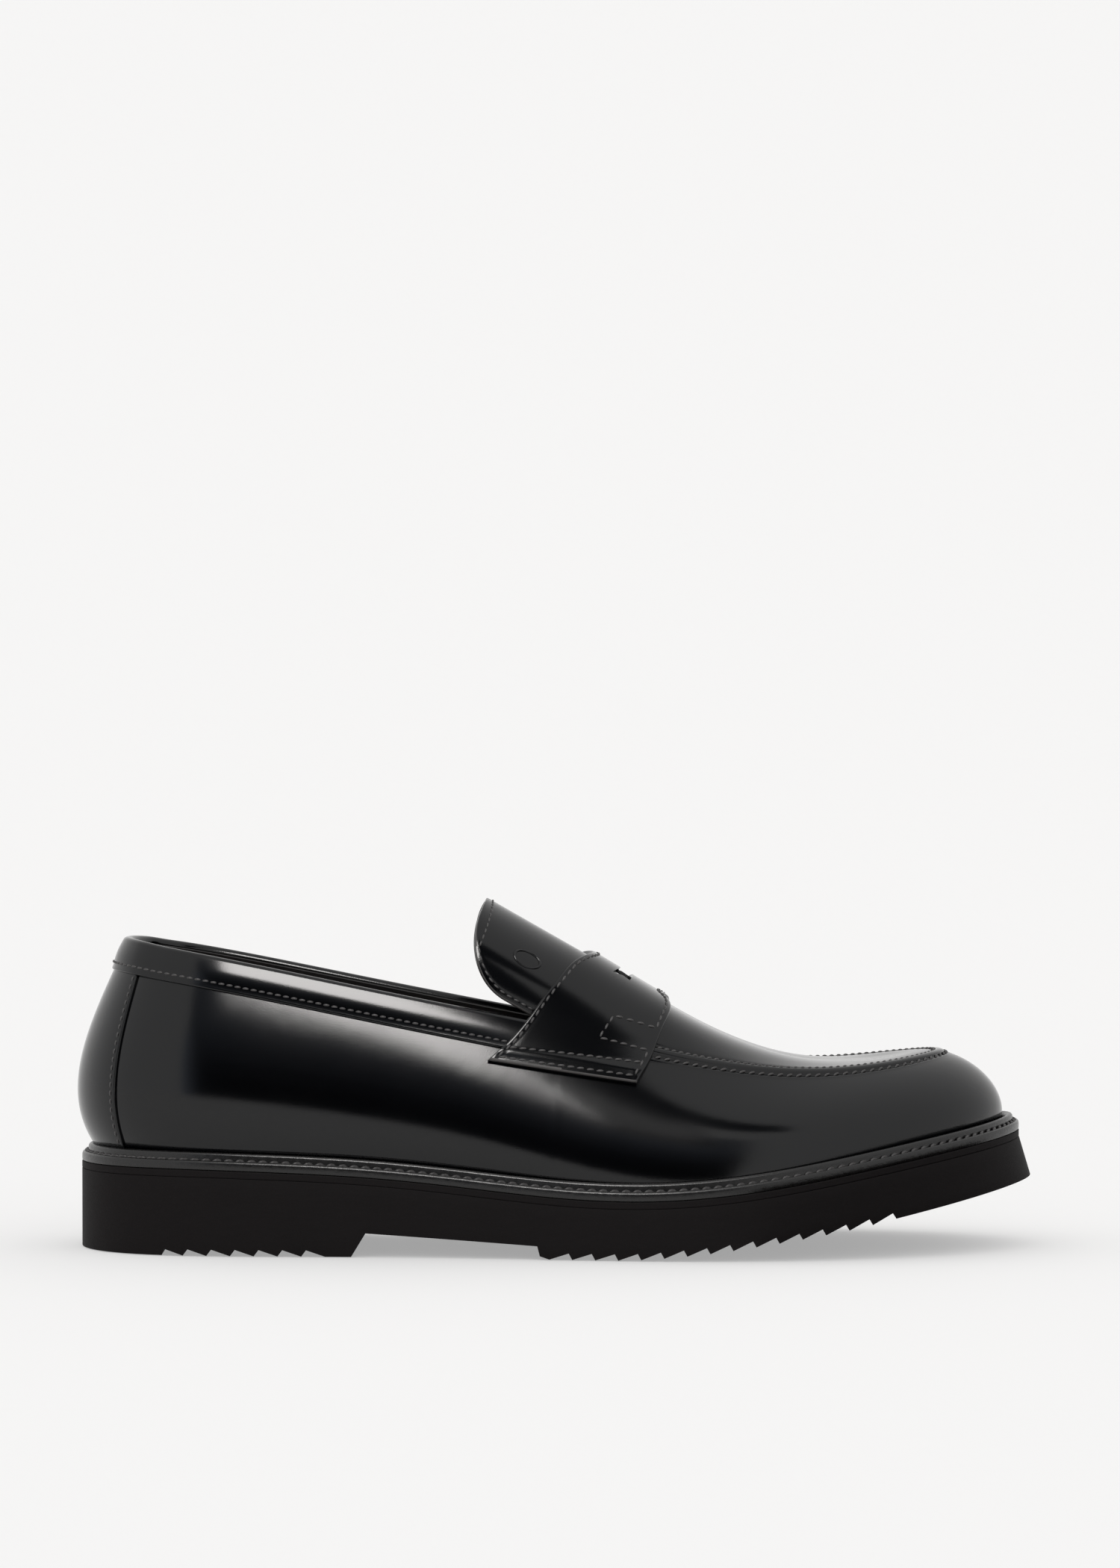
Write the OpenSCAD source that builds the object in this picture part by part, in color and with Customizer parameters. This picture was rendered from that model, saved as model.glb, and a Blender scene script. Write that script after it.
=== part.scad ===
// Penny loafer for the right foot, EU 42, with a sprung wedge sole and a saddle strap.
// +X points to the toe, +Z up and +Y to the inner side. The origin is on the ground,
// below the middle of the shoe.

/* [Leather] */
// Thickness of the upper's outer leather
upper_t = 1.3; // [1.0:0.1:1.3]
// Thickness of the lining leather
lining_t = 0.8; // [0.6:0.1:0.8]
// Thickness of the heel counter and the toe puff
stiffener_t = 0.8; // [0.5:0.1:0.8]
// Thickness of the saddle strap
strap_t = 1.8; // [1.2:0.1:2.0]
// Height of the collar band under the topline
collar_h = 10.5; // [8:0.5:12]
// Thickness of the backstay strip
backstay_t = 1.1; // [0.8:0.1:1.2]

/* [Penny slot] */
// Share of the strap's width ahead of which the slot starts
slot_rear = 0.34; // [0.3:0.02:0.4]
// Share of the strap's width at which the slot ends
slot_front = 0.62; // [0.56:0.02:0.7]

/* [Tongue] */
// Thickness of the tongue's outer leather
tongue_t = 1.3; // [1.0:0.1:1.4]
// Thickness of the tongue's lining
tongue_lining_t = 0.8; // [0.6:0.1:0.9]
// Gap between the free tongue and the strap's rear edge
tongue_gap = 1.6; // [1.0:0.1:2.0]

/* [Sole] */
// Thickness of the welt's flat lip
welt_t = 3.0; // [2.4:0.1:3.2]
// Thickness of the midsole layer
midsole_t = 2.4; // [1.6:0.1:2.8]
// Depth of the sawtooth treads
tread_depth = 2.0; // [1.0:0.1:2.5]
// Number of treads under the heel
heel_treads = 8; // [4:1:9]
// Number of treads under the forefoot
ball_treads = 15; // [8:1:16]
// Height of the raised bead on the welt
bead_h = 2.5; // [1.5:0.1:2.8]

/* [Insole] */
// Thickness of the insole board
insole_t = 2.2; // [1.6:0.1:2.4]
// Thickness of the sock lining
sock_t = 1.0; // [0.8:0.1:1.2]
// Thickness of the foam heel cushion
cushion_t = 2.0; // [1.0:0.1:2.5]
// Width of the steel shank
shank_w = 15; // [10:1:18]

/* [Hidden] */

// Colours
box_calf = [0.07, 0.07, 0.08];
calf_edge = [0.16, 0.15, 0.15];
foam_black = [0.12, 0.11, 0.11];
thread_black = [0.20, 0.20, 0.21];
lining_black = [0.17, 0.15, 0.14];
cork_brown = [0.70, 0.52, 0.34];
board_brown = [0.74, 0.63, 0.48];
steel_grey = [0.65, 0.66, 0.68];

// Twelve stations run from the middle of the heel (0) to the tip of the toe (11).
// A position t goes all round the shoe: 0 to 11 on the outer side, 11 to 22 on the inner.
toe = 11;
lap = 2 * toe;
step = 0.25;

// Edge of the welt seen from above, at each station
OUTER_EDGE = [[-151.6, 1], [-143, -22], [-121, -35], [-90, -38.5], [-55, -40.5], [-20, -45],
              [15, -51], [50, -54.5], [84, -51.5], [116, -40], [140, -19], [149.6, 7]];
INNER_EDGE = [[139, 32.5], [113, 49], [82, 54.5], [50, 52], [15, 45.5], [-20, 38.5],
              [-55, 36], [-90, 36], [-121, 35], [-143, 24]];
EDGE = concat(OUTER_EDGE, INNER_EDGE);

// Middle line of the upper, which every rib of the upper runs to, at each station
CORE = [[-118, 1], [-117, 1], [-110, 1], [-88, 1], [-55, 1.5], [-20, 2],
        [15, 2.5], [47, 3], [73, 4], [88, 5.5], [93, 6.5], [94, 7]];

// Height of the deck, which is the top of the welt's lip, every deck_pitch along X
deck_rear = -180;
deck_pitch = 30;
DECK = [30.4, 30.4, 30.3, 29.4, 28.0, 25.3, 22.3, 21.5, 24.1, 29.2, 34.9, 39.8, 44.7];
// Height of the upper's ridge above the middle line; the shoe has it from station 5 on
RIDGE = [166, 165.5, 161.5, 149, 130, 110.2, 90.3, 70.9, 60.9, 59.3, 59.2, 59.2];

// The upper's wall at each station: the gap from the welt's edge to its foot, the height
// of its top, how far its top leans in on each side, and its angles and fullness
FOOT_GAP = [6.4, 6.1, 5.3, 5.3, 5.5, 5.8, 5.6, 5.4, 5.7, 6.0, 6.0, 5.9];
TOP_H = [98.4, 98.0, 95.6, 90.2, 83.1, 76.2, 69.2, 61.6, 58.2, 59.4, 61.3, 62.2];
LEAN_OUTER = [9.5, 9.4, 7.8, 7.9, 8.5, 11.7, 18.2, 23, 23.2, 21, 20.7, 21.5];
LEAN_INNER = [9.5, 9.1, 5.7, 3.9, 2.5, 3.7, 8.7, 14.5, 19.2, 20.4, 20.6, 21.5];
TOP_ANGLE = [66, 66, 69, 70, 70, 66, 60, 48, 36, 24, 12, 6];
FOOT_ANGLE = [38, 35, 29, 25, 22, 17, 7, 1, 8, 15, 17, 15];
FOOT_PULL = [0.36, 0.36, 0.34, 0.34, 0.34, 0.36, 0.38, 0.42, 0.45, 0.47, 0.49, 0.49];
TOP_PULL = [0.42, 0.42, 0.40, 0.38, 0.36, 0.36, 0.38, 0.42, 0.47, 0.50, 0.52, 0.52];

// Rails of the saddle strap: [share of the way up, station, height on the rib]
STRAP_REAR = [[0, 4.97, 0.70], [0.25, 5.20, 0.87], [0.5, 5.44, 1.12],
              [0.75, 5.67, 1.45], [1, 5.90, 2]];
STRAP_FRONT = [[0, 6.31, 0.70], [0.25, 6.48, 0.97], [0.5, 6.61, 1.40],
               [0.75, 6.63, 1.72], [1, 6.56, 2]];
STRAP_ROWS = [0, 0.15, 0.30, 0.45, 0.60, 0.74, 0.87];
STRAP_COLUMNS = [0, slot_rear / 2, slot_rear, slot_front, (1 + slot_front) / 2, 1];

// The tongue: its slope, the two radii of its arch, its length and its half depth
tongue_slope = 29.7;
tongue_tip = [-21.6, 2, 111.2];
arch_y = 27;
arch_h = 27;
tongue_l = 36.3;
tongue_depth = 24.4;
tongue_round = 25;

// The underside: end of the heel pad, the waist recess and the spring under the toe
pad_end = -124;
heel_end = -64;
recess_front = -5.4;
recess_rear_h = 7.4;
recess_front_h = 4.1;
ball_start = -2;
ball_end = 106;
SPRING = [[-160, 0], [20, 0], [45, 1.9], [66, 4.9], [79, 7.0], [93, 9.5], [106, 12.4],
          [130, 17.7], [153, 22.9]];
toe_slant = 3.8;

glue = 0.1;
layer_gap = 0.3;
counter_out = -(upper_t + layer_gap);
lining_out = counter_out - stiffener_t - layer_gap;
grip_out = lining_out - lining_t - 0.5;
insole_z = 0.6;
sock_z = insole_z + insole_t + glue;

// ---- Curves

function mirrored(k, i) = let (n = len(k) - 1) k[i < 0 ? -i : i > n ? 2 * n - i : i];
function around(k, i) = k[(i + len(k)) % len(k)];
// Cubic B-spline weights that pull the curve close to its points
function weights(f) = [pow(1 - f, 3), 3 * f * f * f - 6 * f * f + 4,
                       -3 * f * f * f + 3 * f * f + 3 * f + 1, f * f * f] / 6;
function sharpen(a, b, c) = b - (a - 2 * b + c) / 6;
function blend5(p, f) =
    let (w = weights(f))
    w[0] * sharpen(p[0], p[1], p[2]) + w[1] * sharpen(p[1], p[2], p[3])
    + w[2] * sharpen(p[2], p[3], p[4]) + w[3] * sharpen(p[3], p[4], p[5]);
function spline(k, s) =
    let (i = min(floor(s), len(k) - 2))
    blend5([for (j = [i - 2:i + 3]) mirrored(k, j)], s - i);
function ring(k, t) =
    let (i = floor(t))
    blend5([for (j = [i - 2:i + 3]) around(k, j + len(k))], t - i);

// Smooth curve through points of uneven spacing, y from x
function slope_at(k, i) =
    let (a = max(i - 1, 0), b = min(i + 1, len(k) - 1))
    (k[b].y - k[a].y) / (k[b].x - k[a].x);
function hermite(k, i, x) =
    let (h = k[i + 1].x - k[i].x, f = (x - k[i].x) / h, g = 1 - f)
    (1 + 2 * f) * g * g * k[i].y + f * g * g * h * slope_at(k, i)
    + f * f * (3 - 2 * f) * k[i + 1].y - f * f * g * h * slope_at(k, i + 1);
function graph(k, x) = hermite(k, max([0, for (i = [1:len(k) - 2]) if (k[i].x <= x) i]), x);

function bezier(p, f) =
    let (g = 1 - f)
    g * g * g * p[0] + 3 * f * g * g * p[1] + 3 * f * f * g * p[2] + f * f * f * p[3];
function unit(v) = v / norm(v);

// ---- The upper as one surface: t round the shoe, q from its foot (0) over the
// ---- shoulder or topline (1) to the ridge (2)

function deck(x) = spline(DECK, (x - deck_rear) / deck_pitch);
function station(t) = t <= toe ? t : lap - t;
function edge(t) = ring(EDGE, t);
function lean(t) = spline(t <= toe ? LEAN_OUTER : LEAN_INNER, station(t));

function wall_profile(t, foot) =
    let (s = station(t), top = spline(TOP_H, s), h = top - foot,
         a = spline(TOP_ANGLE, s), b = spline(FOOT_ANGLE, s),
         up = spline(FOOT_PULL, s) * h, down = spline(TOP_PULL, s) * h)
    [[0, foot], [up * sin(b), foot + up * cos(b)],
     [down * cos(a) - lean(t), top - down * sin(a)], [-lean(t), top]];

// From the shoulder to the ridge, which lies at `reach` from the wall's foot
function crown_profile(t, reach, ridge) =
    let (s = station(t), top = spline(TOP_H, s), a = spline(TOP_ANGLE, s),
         run = reach - lean(t), rise = ridge - top,
         pull = 0.3 * run + 0.35 * abs(rise))
    [[-lean(t), top], [-lean(t) - pull * cos(a), top + pull * sin(a) * min(1, max(0, rise / 14))],
     [-reach + 0.55 * run, ridge], [-reach, ridge]];

function upper_point(t, q) =
    let (s = station(t), c = spline(CORE, s), e = edge(t), d = unit(e - c),
         f = e - d * spline(FOOT_GAP, s), foot = deck(f.x) + 0.2,
         p = q <= 1 ? bezier(wall_profile(t, foot), q)
                    : bezier(crown_profile(t, norm(f - c), spline(RIDGE, s)), q - 1))
    [f.x + d.x * p[0], f.y + d.y * p[0], p[1]];

nudge = 0.01;
function ridge_normal(t) =
    let (s = min(station(t), toe - 0.2), a = s - 0.1, b = s + 0.1)
    unit([spline(RIDGE, a) - spline(RIDGE, b), 0, spline(CORE, b).x - spline(CORE, a).x]);
function upper_normal(t, q) =
    q > 2 - nudge ? ridge_normal(t)
    : unit(cross(upper_point(t + nudge, q) - upper_point(t - nudge, q),
                 upper_point(t, q + nudge) - upper_point(t, max(0, q - nudge))));
function upper(t, q, out = 0) = upper_point(t, q) + out * upper_normal(t, q);

// Height on the wall, 0 to 1, at which it reaches z
function wall_q(t, z, low = 0, high = 1, n = 12) =
    n == 0 ? (low + high) / 2
    : let (m = (low + high) / 2)
      upper_point(t, m).z < z ? wall_q(t, z, m, high, n - 1) : wall_q(t, z, low, m, n - 1);
function collar_q(t) = wall_q(t, spline(TOP_H, station(t)) - collar_h);

// ---- Sheets

function steps(a, b, n) = [for (i = [0:n]) a + (b - a) * i / n];
function grid(us, vs, point) = [for (u = us) [for (v = vs) point(u, v)]];

// Solid between two grids of points. `hole` leaves out cells [row, row, column, column].
// With `folded`, the last column is one ridge that the first and last rows share.
module sheet(outer, inner, hole = [0, 0, 0, 0], folded = false) {
    nu = len(outer);
    nv = len(outer[0]);
    function id(g, i, j) = (g * nu + (folded && j == nv - 1 ? min(i, nu - 1 - i) : i)) * nv + j;
    function open(i, j) = i >= hole[0] && i < hole[1] && j >= hole[2] && j < hole[3]
                          || i < 0 || j < 0 || i >= nu - 1 || j >= nv - 1;
    function quad(a, b, c, d) = [[a, b, c], [a, c, d]];
    cells = [for (i = [0:nu - 2]) for (j = [0:nv - 2]) if (!open(i, j)) [i, j]];
    faces = [
        for (c = cells) let (i = c[0], j = c[1]) each concat(
            quad(id(0, i, j), id(0, i, j + 1), id(0, i + 1, j + 1), id(0, i + 1, j)),
            quad(id(1, i, j), id(1, i + 1, j), id(1, i + 1, j + 1), id(1, i, j + 1)),
            open(i - 1, j) ? quad(id(0, i, j), id(1, i, j), id(1, i, j + 1), id(0, i, j + 1)) : [],
            open(i + 1, j) ? quad(id(0, i + 1, j + 1), id(1, i + 1, j + 1),
                                  id(1, i + 1, j), id(0, i + 1, j)) : [],
            open(i, j - 1) ? quad(id(0, i + 1, j), id(1, i + 1, j), id(1, i, j), id(0, i, j)) : [],
            open(i, j + 1) && !(folded && j == nv - 2)
                ? quad(id(0, i, j + 1), id(1, i, j + 1),
                       id(1, i + 1, j + 1), id(0, i + 1, j + 1)) : [])];
    kept = [for (f = faces) if (f[0] != f[1] && f[1] != f[2] && f[0] != f[2]) f];
    polyhedron([for (g = [outer, inner]) for (row = g) each row], kept);
}

// A piece of the upper between two offsets; `at` gives the height q from (t, share)
module upper_sheet(ts, shares, at, out, thickness, folded = false) {
    sheet(grid(ts, shares, function(t, v) upper(t, at(t, v), out)),
          grid(ts, shares, function(t, v) upper(t, at(t, v), out - thickness)),
          folded = folded);
}

// A thread as a flat bar along a path on the upper
thread_w = 0.8;
thread_h = 0.5;
module thread(path, normals) {
    n = len(path);
    along = [for (i = [0:n - 1]) unit(path[min(i + 1, n - 1)] - path[max(i - 1, 0)])];
    across = [for (i = [0:n - 1]) unit(cross(along[i], normals[i])) * thread_w / 2];
    low = [for (i = [0:n - 1]) [path[i] - across[i], path[i] + across[i]]];
    high = [for (i = [0:n - 1]) [for (p = low[i]) p + thread_h * normals[i]]];
    sheet([for (row = high) [row[1], row[0]]], [for (row = low) [row[1], row[0]]]);
}
module upper_thread(spots, out = 0) {
    thread([for (p = spots) upper(p[0], p[1], out)], [for (p = spots) upper_normal(p[0], p[1])]);
}

// ---- The sole, cut across at stations along X

function edge_normal(t) =
    let (d = edge(t + nudge) - edge(t - nudge + (t < nudge ? lap : 0)), u = unit(d)) [-u.y, u.x];
function inset_edge(t, gap) = edge(t) + edge_normal(t) * gap;
function edge_at(x, inner, gap, low = 0.02, high = toe - 0.02, n = 14) =
    let (m = (low + high) / 2, p = inset_edge(inner ? lap - m : m, gap))
    n == 0 ? p.y : p.x < x ? edge_at(x, inner, gap, m, high, n - 1)
                           : edge_at(x, inner, gap, low, m, n - 1);

// Stations along X, close together at the heel's and the toe's round ends
end_r = 28;
function rounded_ends(rear, front, middle) =
    concat([for (a = [5:10:75]) rear + end_r * (1 - cos(a))],
           [for (x = middle) if (x > rear + 0.8 * end_r && x < front - 0.8 * end_r) x],
           [for (a = [75:-10:5]) front - end_r * (1 - cos(a))]);
function even(pitch) = [for (x = [-150:pitch:150]) x];
function tip_x(gap) = inset_edge(toe, gap).x;
function back_x(gap) = inset_edge(0, gap).x;

// Slab between two heights over the stations xs, with its sides `gap` inside the welt's edge
module slab(xs, gap, bottom, top, slant = 0) {
    function lower(x, y) = [x + slant * pow(max(0, (x - 60) / 90), 2), y, bottom(x)];
    function side(x, inner) = edge_at(x, inner, gap);
    sheet([for (x = xs) [for (inner = [false, true]) [x, side(x, inner), top(x)]]],
          [for (x = xs) [for (inner = [false, true]) lower(x, side(x, inner))]]);
}
module deck_slab(gap, low, high, rear = -200, front = 200) {
    ends = rounded_ends(back_x(gap), tip_x(gap), even(10));
    xs = [for (x = ends) if (x > rear && x < front) x];
    slab(xs, gap, function(x) deck(x) + low, function(x) deck(x) + high);
}

// Ring with a profile of [gap from the edge, height over the deck] points
module welt_ring(profile) {
    ts = [for (t = [0:step:lap - step]) t];
    n = len(profile(0));
    points = [for (t = ts) for (p = profile(t))
                  let (e = inset_edge(t, p[0])) [e.x, e.y, deck(e.x) + p[1]]];
    function id(i, j) = (i % len(ts)) * n + j % n;
    faces = [for (i = [0:len(ts) - 1]) for (j = [0:n - 1])
                 each [[id(i, j), id(i + 1, j), id(i + 1, j + 1)],
                       [id(i, j), id(i + 1, j + 1), id(i, j + 1)]]];
    polyhedron(points, faces);
}

// ---- Sole pieces

function spring(x) = x < 20 ? 0 : graph(SPRING, x);
heel_pitch = (heel_end - pad_end) / heel_treads;
ball_pitch = (ball_end - ball_start) / ball_treads;
// Underside from heel to toe: steep faces look to the heel at the rear, to the toe in front
UNDERSIDE = concat(
    [[pad_end, 0]],
    [for (i = [0:heel_treads - 2]) let (x = pad_end + i * heel_pitch)
         each [[x + 0.1 * heel_pitch, tread_depth], [x + 0.9 * heel_pitch, 0]]],
    [[heel_end, 0], [heel_end + 4.5, recess_rear_h], [recess_front, recess_front_h],
     [recess_front + 0.8, 1]],
    [for (i = [0:ball_treads - 1]) let (x = ball_start + i * ball_pitch)
         each [[x + 0.05 * ball_pitch, spring(x)],
               [x + 0.9 * ball_pitch, spring(x + 0.9 * ball_pitch) + tread_depth]]],
    [[ball_end + 0.05 * ball_pitch, spring(ball_end)]]);
function underside(x) =
    x <= pad_end ? 0 : x >= UNDERSIDE[len(UNDERSIDE) - 1].x ? spring(x) : lookup(x, UNDERSIDE);

module outsole() {
    xs = rounded_ends(back_x(0), tip_x(0), concat([for (p = UNDERSIDE) p.x], [112, 118]));
    color(foam_black)
        slab(xs, 0, function(x) underside(x), function(x) deck(x) - welt_t - midsole_t,
             slant = toe_slant);
}
module midsole() {
    color(foam_black) deck_slab(0.5, glue - welt_t - midsole_t, -welt_t - glue);
}
// Storm welt: flat lip, stitch groove and a raised bead close to the upper. The bead's
// inner side clears the leather, which leans out over it, and the backstay on the heel.
function bead_gap(s) =
    spline(FOOT_GAP, s) - bead_h * tan(max(0, spline(FOOT_ANGLE, s))) - layer_gap
    - (backstay_t + glue + 0.4) * min(1, max(0, backstay_end + 1.4 - s));
module welt() {
    color(calf_edge) welt_ring(function(t)
        let (g = bead_gap(station(t)))
        [[0.2, -welt_t], [0.2, 0], [1.4, 0], [1.6, bead_h - 0.6], [(1.8 + g) / 2, bead_h],
         [g, bead_h - 0.4], [g, -0.1], [8.4, -0.1], [8.4, -welt_t]]);
}
module welt_thread() {
    color(thread_black) welt_ring(function(t) [[0.5, 0.1], [0.5, 0.6], [1.3, 0.6], [1.3, 0.1]]);
}
module insole_rib() {
    color(board_brown)
        welt_ring(function(t) [[8.6, -welt_t], [8.6, insole_z - glue],
                               [10.4, insole_z - glue], [10.4, -welt_t]]);
}
// Cork under the insole, thinner under the waist and heel where the shank lies on it
shank_rear = -112;
shank_front = -12;
shank_t = 1.2;
module cork_filler() {
    gap = 10.6;
    step_x = shank_front + 4;
    xs = rounded_ends(back_x(gap), tip_x(gap),
                      concat([for (x = even(10)) if (x < step_x - 1) x], [step_x - 0.1, step_x],
                             [for (x = even(10)) if (x > step_x + 1) x]));
    color(cork_brown)
        slab(xs, gap, function(x) deck(x) - welt_t,
             function(x) deck(x) + insole_z - glue - (x < step_x ? shank_t + glue : 0));
}
module shank() {
    xs = steps(shank_rear, shank_front, 12);
    function strip(x, z) = [for (y = [-shank_w / 2, shank_w / 2]) [x, y, deck(x) + z]];
    color(steel_grey)
        sheet([for (x = xs) strip(x, insole_z - glue)],
              [for (x = xs) strip(x, insole_z - shank_t)]);
}
module insole_board() {
    color(board_brown) deck_slab(9.5, insole_z, insole_z + insole_t);
}
// The cushion fades out ahead of the heel, and the sock lining lies over it
cushion_end = -62;
function cushion(x) = cushion_t * min(1, max(0, (cushion_end - x) / 20));
module heel_cushion() {
    gap = 13;
    xs = [for (x = rounded_ends(back_x(gap), tip_x(gap), even(5))) if (x < cushion_end - 2) x];
    color(foam_black)
        slab(xs, gap, function(x) deck(x) + sock_z, function(x) deck(x) + sock_z + cushion(x));
}
module sock_lining() {
    gap = 9.8;
    xs = rounded_ends(back_x(gap), tip_x(gap), even(5));
    color(lining_black)
        slab(xs, gap, function(x) deck(x) + sock_z + glue + cushion(x),
             function(x) deck(x) + sock_z + glue + cushion(x) + sock_t);
}

// ---- Upper pieces

back_seam = 0.02;
collar_end = 5.4;
function arc(from) = steps(from, lap - from, round((lap - 2 * from) / step));
shares = steps(0, 1, 5);
function wall_top(t) =
    let (s = station(t)) s < collar_end + 0.25 ? collar_q(t) - 0.004 : 0.99;

module side_wall() {
    color(box_calf) upper_sheet(arc(back_seam), shares, function(t, v) v * wall_top(t), 0, upper_t);
}
// The collar band runs round the heel from the strap on one side to the other
function heel_arc(end) = steps(-end, end, round(2 * end / step));
function wrap(t) = t < 0 ? t + lap : t;
module heel_sheet(end, rows, at, out, thickness) {
    upper_sheet([for (s = heel_arc(end)) wrap(s)], rows, at, out, thickness);
}
module collar_band() {
    color(box_calf)
        heel_sheet(collar_end, steps(0, 1, 2),
                   function(t, v) let (c = collar_q(t) + 0.004) c + v * (1 - c), 0, 2);
}
apron_start = 6.25;
module apron() {
    color(box_calf) upper_sheet(arc(apron_start), steps(0, 1, 6), function(t, v) 1.01 + 0.99 * v,
                                0, upper_t, folded = true);
}
backstay_end = 1.25;
module backstay() {
    color(box_calf)
        heel_sheet(backstay_end, shares, function(t, v) 0.02 + v * (collar_q(t) - 0.03),
                   backstay_t + glue, backstay_t);
}
module heel_counter() {
    color(board_brown)
        heel_sheet(3, shares, function(t, v) 0.04 + v * 0.66, counter_out, stiffener_t);
}
puff_start = 9;
module toe_puff() {
    color(board_brown)
        upper_sheet(arc(puff_start), steps(0, 1, 8), function(t, v) 0.04 + v * 1.3,
                    counter_out, stiffener_t);
}
lining_split = 5.5;
module quarter_lining() {
    color(lining_black)
        heel_sheet(lining_split - 0.02, shares, function(t, v) 0.04 + v * 0.95, lining_out, lining_t);
}
module vamp_lining() {
    color(lining_black) union() {
        upper_sheet(arc(apron_start), steps(0, 1, 10), function(t, v) 0.04 + 1.96 * v,
                    lining_out, lining_t, folded = true);
    }
}
module heel_grip() {
    color(lining_black)
        heel_sheet(2, shares, function(t, v) 0.3 + v * 0.62, grip_out, lining_t);
}

// ---- The saddle strap

function rail(k, u, column) = graph([for (p = k) [p[0], p[column]]], u);
// Point of the strap at u up one side, c from its rear rail to its front rail
function strap_spot(u, c, inner) =
    let (s = rail(STRAP_REAR, u, 1) * (1 - c) + rail(STRAP_FRONT, u, 1) * c,
         q = rail(STRAP_REAR, u, 2) * (1 - c) + rail(STRAP_FRONT, u, 2) * c)
    [inner ? lap - s : s, q];
strap_rows = concat([for (u = STRAP_ROWS) [u, false]], [[1, false]],
                    [for (i = [len(STRAP_ROWS) - 1:-1:0]) [STRAP_ROWS[i], true]]);
function strap_grid(rows, columns, out) =
    [for (r = rows) [for (c = columns) let (p = strap_spot(r[0], c, r[1]))
        p[1] > 2 - nudge ? upper(p[0], 2, out) : upper(p[0], p[1], out)]];
strap_out = 0.3;
module saddle_strap() {
    color(box_calf)
        sheet([for (row = strap_grid(strap_rows, STRAP_COLUMNS, strap_out + strap_t)) row],
              strap_grid(strap_rows, STRAP_COLUMNS, strap_out), hole = [5, 9, 2, 3]);
}
module strap_thread() {
    out = strap_out + strap_t;
    color(thread_black) for (c = [0.06, 0.94]) {
        spots = [for (r = strap_rows) strap_spot(r[0], c, r[1])];
        upper_thread([for (p = spots) [p[0], min(p[1], 1.985)]], out);
    }
    color(thread_black) for (inner = [false, true])
        upper_thread([for (c = steps(0.1, 0.9, 6)) strap_spot(0.03, c, inner)], out);
}

// ---- Threads of the upper

module apron_thread() {
    color(thread_black) for (row = [1.03, 0.93])
        upper_thread([for (t = arc(6.8)) [t, row]]);
}
module collar_thread() {
    color(thread_black)
        upper_thread([for (s = heel_arc(collar_end - 0.1)) let (t = wrap(s)) [t, collar_q(t) + 0.03]]);
}
module backstay_thread() {
    color(thread_black) for (t = [backstay_end - 0.08, lap - backstay_end + 0.08])
        upper_thread([for (v = steps(0.06, 0.97, 8)) [t, v * collar_q(t)]], backstay_t + glue);
}

// ---- The tongue, an arched leaf that rises from under the strap

// Depth of the tongue's edge below its ridge at a distance from the tip
function tongue_edge(l) = l < tongue_round
    ? tongue_depth * sqrt(1 - pow(1 - l / tongue_round, 2))
    : tongue_depth;
// Point at share r from tip to root and share k from edge to edge, `out` off its face
function tongue_point(r, k, out) =
    let (l0 = r * tongue_l, a = k * acos(1 - tongue_edge(l0) / arch_h),
         h = arch_h * (1 - cos(a)), l = l0 - r * (0.25 * h + tongue_gap),
         y = arch_y * sin(a), n = unit([0, sin(a) / arch_y, cos(a) / arch_h]),
         depth = h - out * n.z, c = cos(tongue_slope), d = sin(tongue_slope))
    tongue_tip + [l * c - depth * d, y + out * n.y, -l * d - depth * c];
tongue_rows = concat([0.015, 0.05], steps(0.1, 1, 9));
tongue_shares = steps(-1, 1, 10);
module tongue_sheet(out, thickness) {
    sheet(grid(tongue_rows, tongue_shares, function(r, k) tongue_point(r, k, out)),
          grid(tongue_rows, tongue_shares, function(r, k) tongue_point(r, k, out - thickness)));
}
module tongue() {
    color(box_calf) tongue_sheet(0, tongue_t);
}
module tongue_lining() {
    color(lining_black) tongue_sheet(-tongue_t - 0.15, tongue_lining_t);
}
module tongue_thread() {
    side_rows = [for (r = tongue_rows) if (r > 0.04 && r < 0.95) r];
    edge_line = concat([for (i = [len(side_rows) - 1:-1:0]) [side_rows[i], -0.95]],
                       [for (k = steps(-0.8, 0.8, 6)) [0.04, k]],
                       [for (r = side_rows) [r, 0.95]]);
    path = [for (p = edge_line) tongue_point(p[0], p[1], 0)];
    color(thread_black)
        thread(path, [for (p = edge_line) unit(tongue_point(p[0], p[1], 1) - tongue_point(p[0], p[1], 0))]);
}
// The part of the tongue that is sewn down under the strap
root_start = 6.2;
module tongue_root() {
    rows = [for (r = strap_rows) if (r[0] > 0.5) r];
    function spot(r, c) =
        let (p = strap_spot(r[0], 0.05, false), s = p[0] * (1 - c) + root_start * c)
        [r[1] ? lap - s : s, p[1]];
    function face(out) = [for (r = rows) [for (c = [0, 0.5, 1]) let (p = spot(r, c)) upper(p[0], p[1], out)]];
    color(box_calf) sheet(face(-layer_gap), face(-layer_gap - upper_t));
}

outsole();
midsole();
welt();
welt_thread();
cork_filler();
shank();
insole_rib();
insole_board();
heel_cushion();
sock_lining();
side_wall();
apron();
apron_thread();
saddle_strap();
strap_thread();
collar_band();
collar_thread();
backstay();
backstay_thread();
heel_counter();
toe_puff();
quarter_lining();
vamp_lining();
heel_grip();
tongue_root();
tongue();
tongue_lining();
tongue_thread();
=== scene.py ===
"""Shapes, finishes and stage of a right-foot penny loafer, EU 42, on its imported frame.

Sizes are in millimetres until a piece is made, and the axes are the frame's own:
+X to the toe, +Z up, +Y to the inner side, the origin on the ground.
"""

import math

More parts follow.
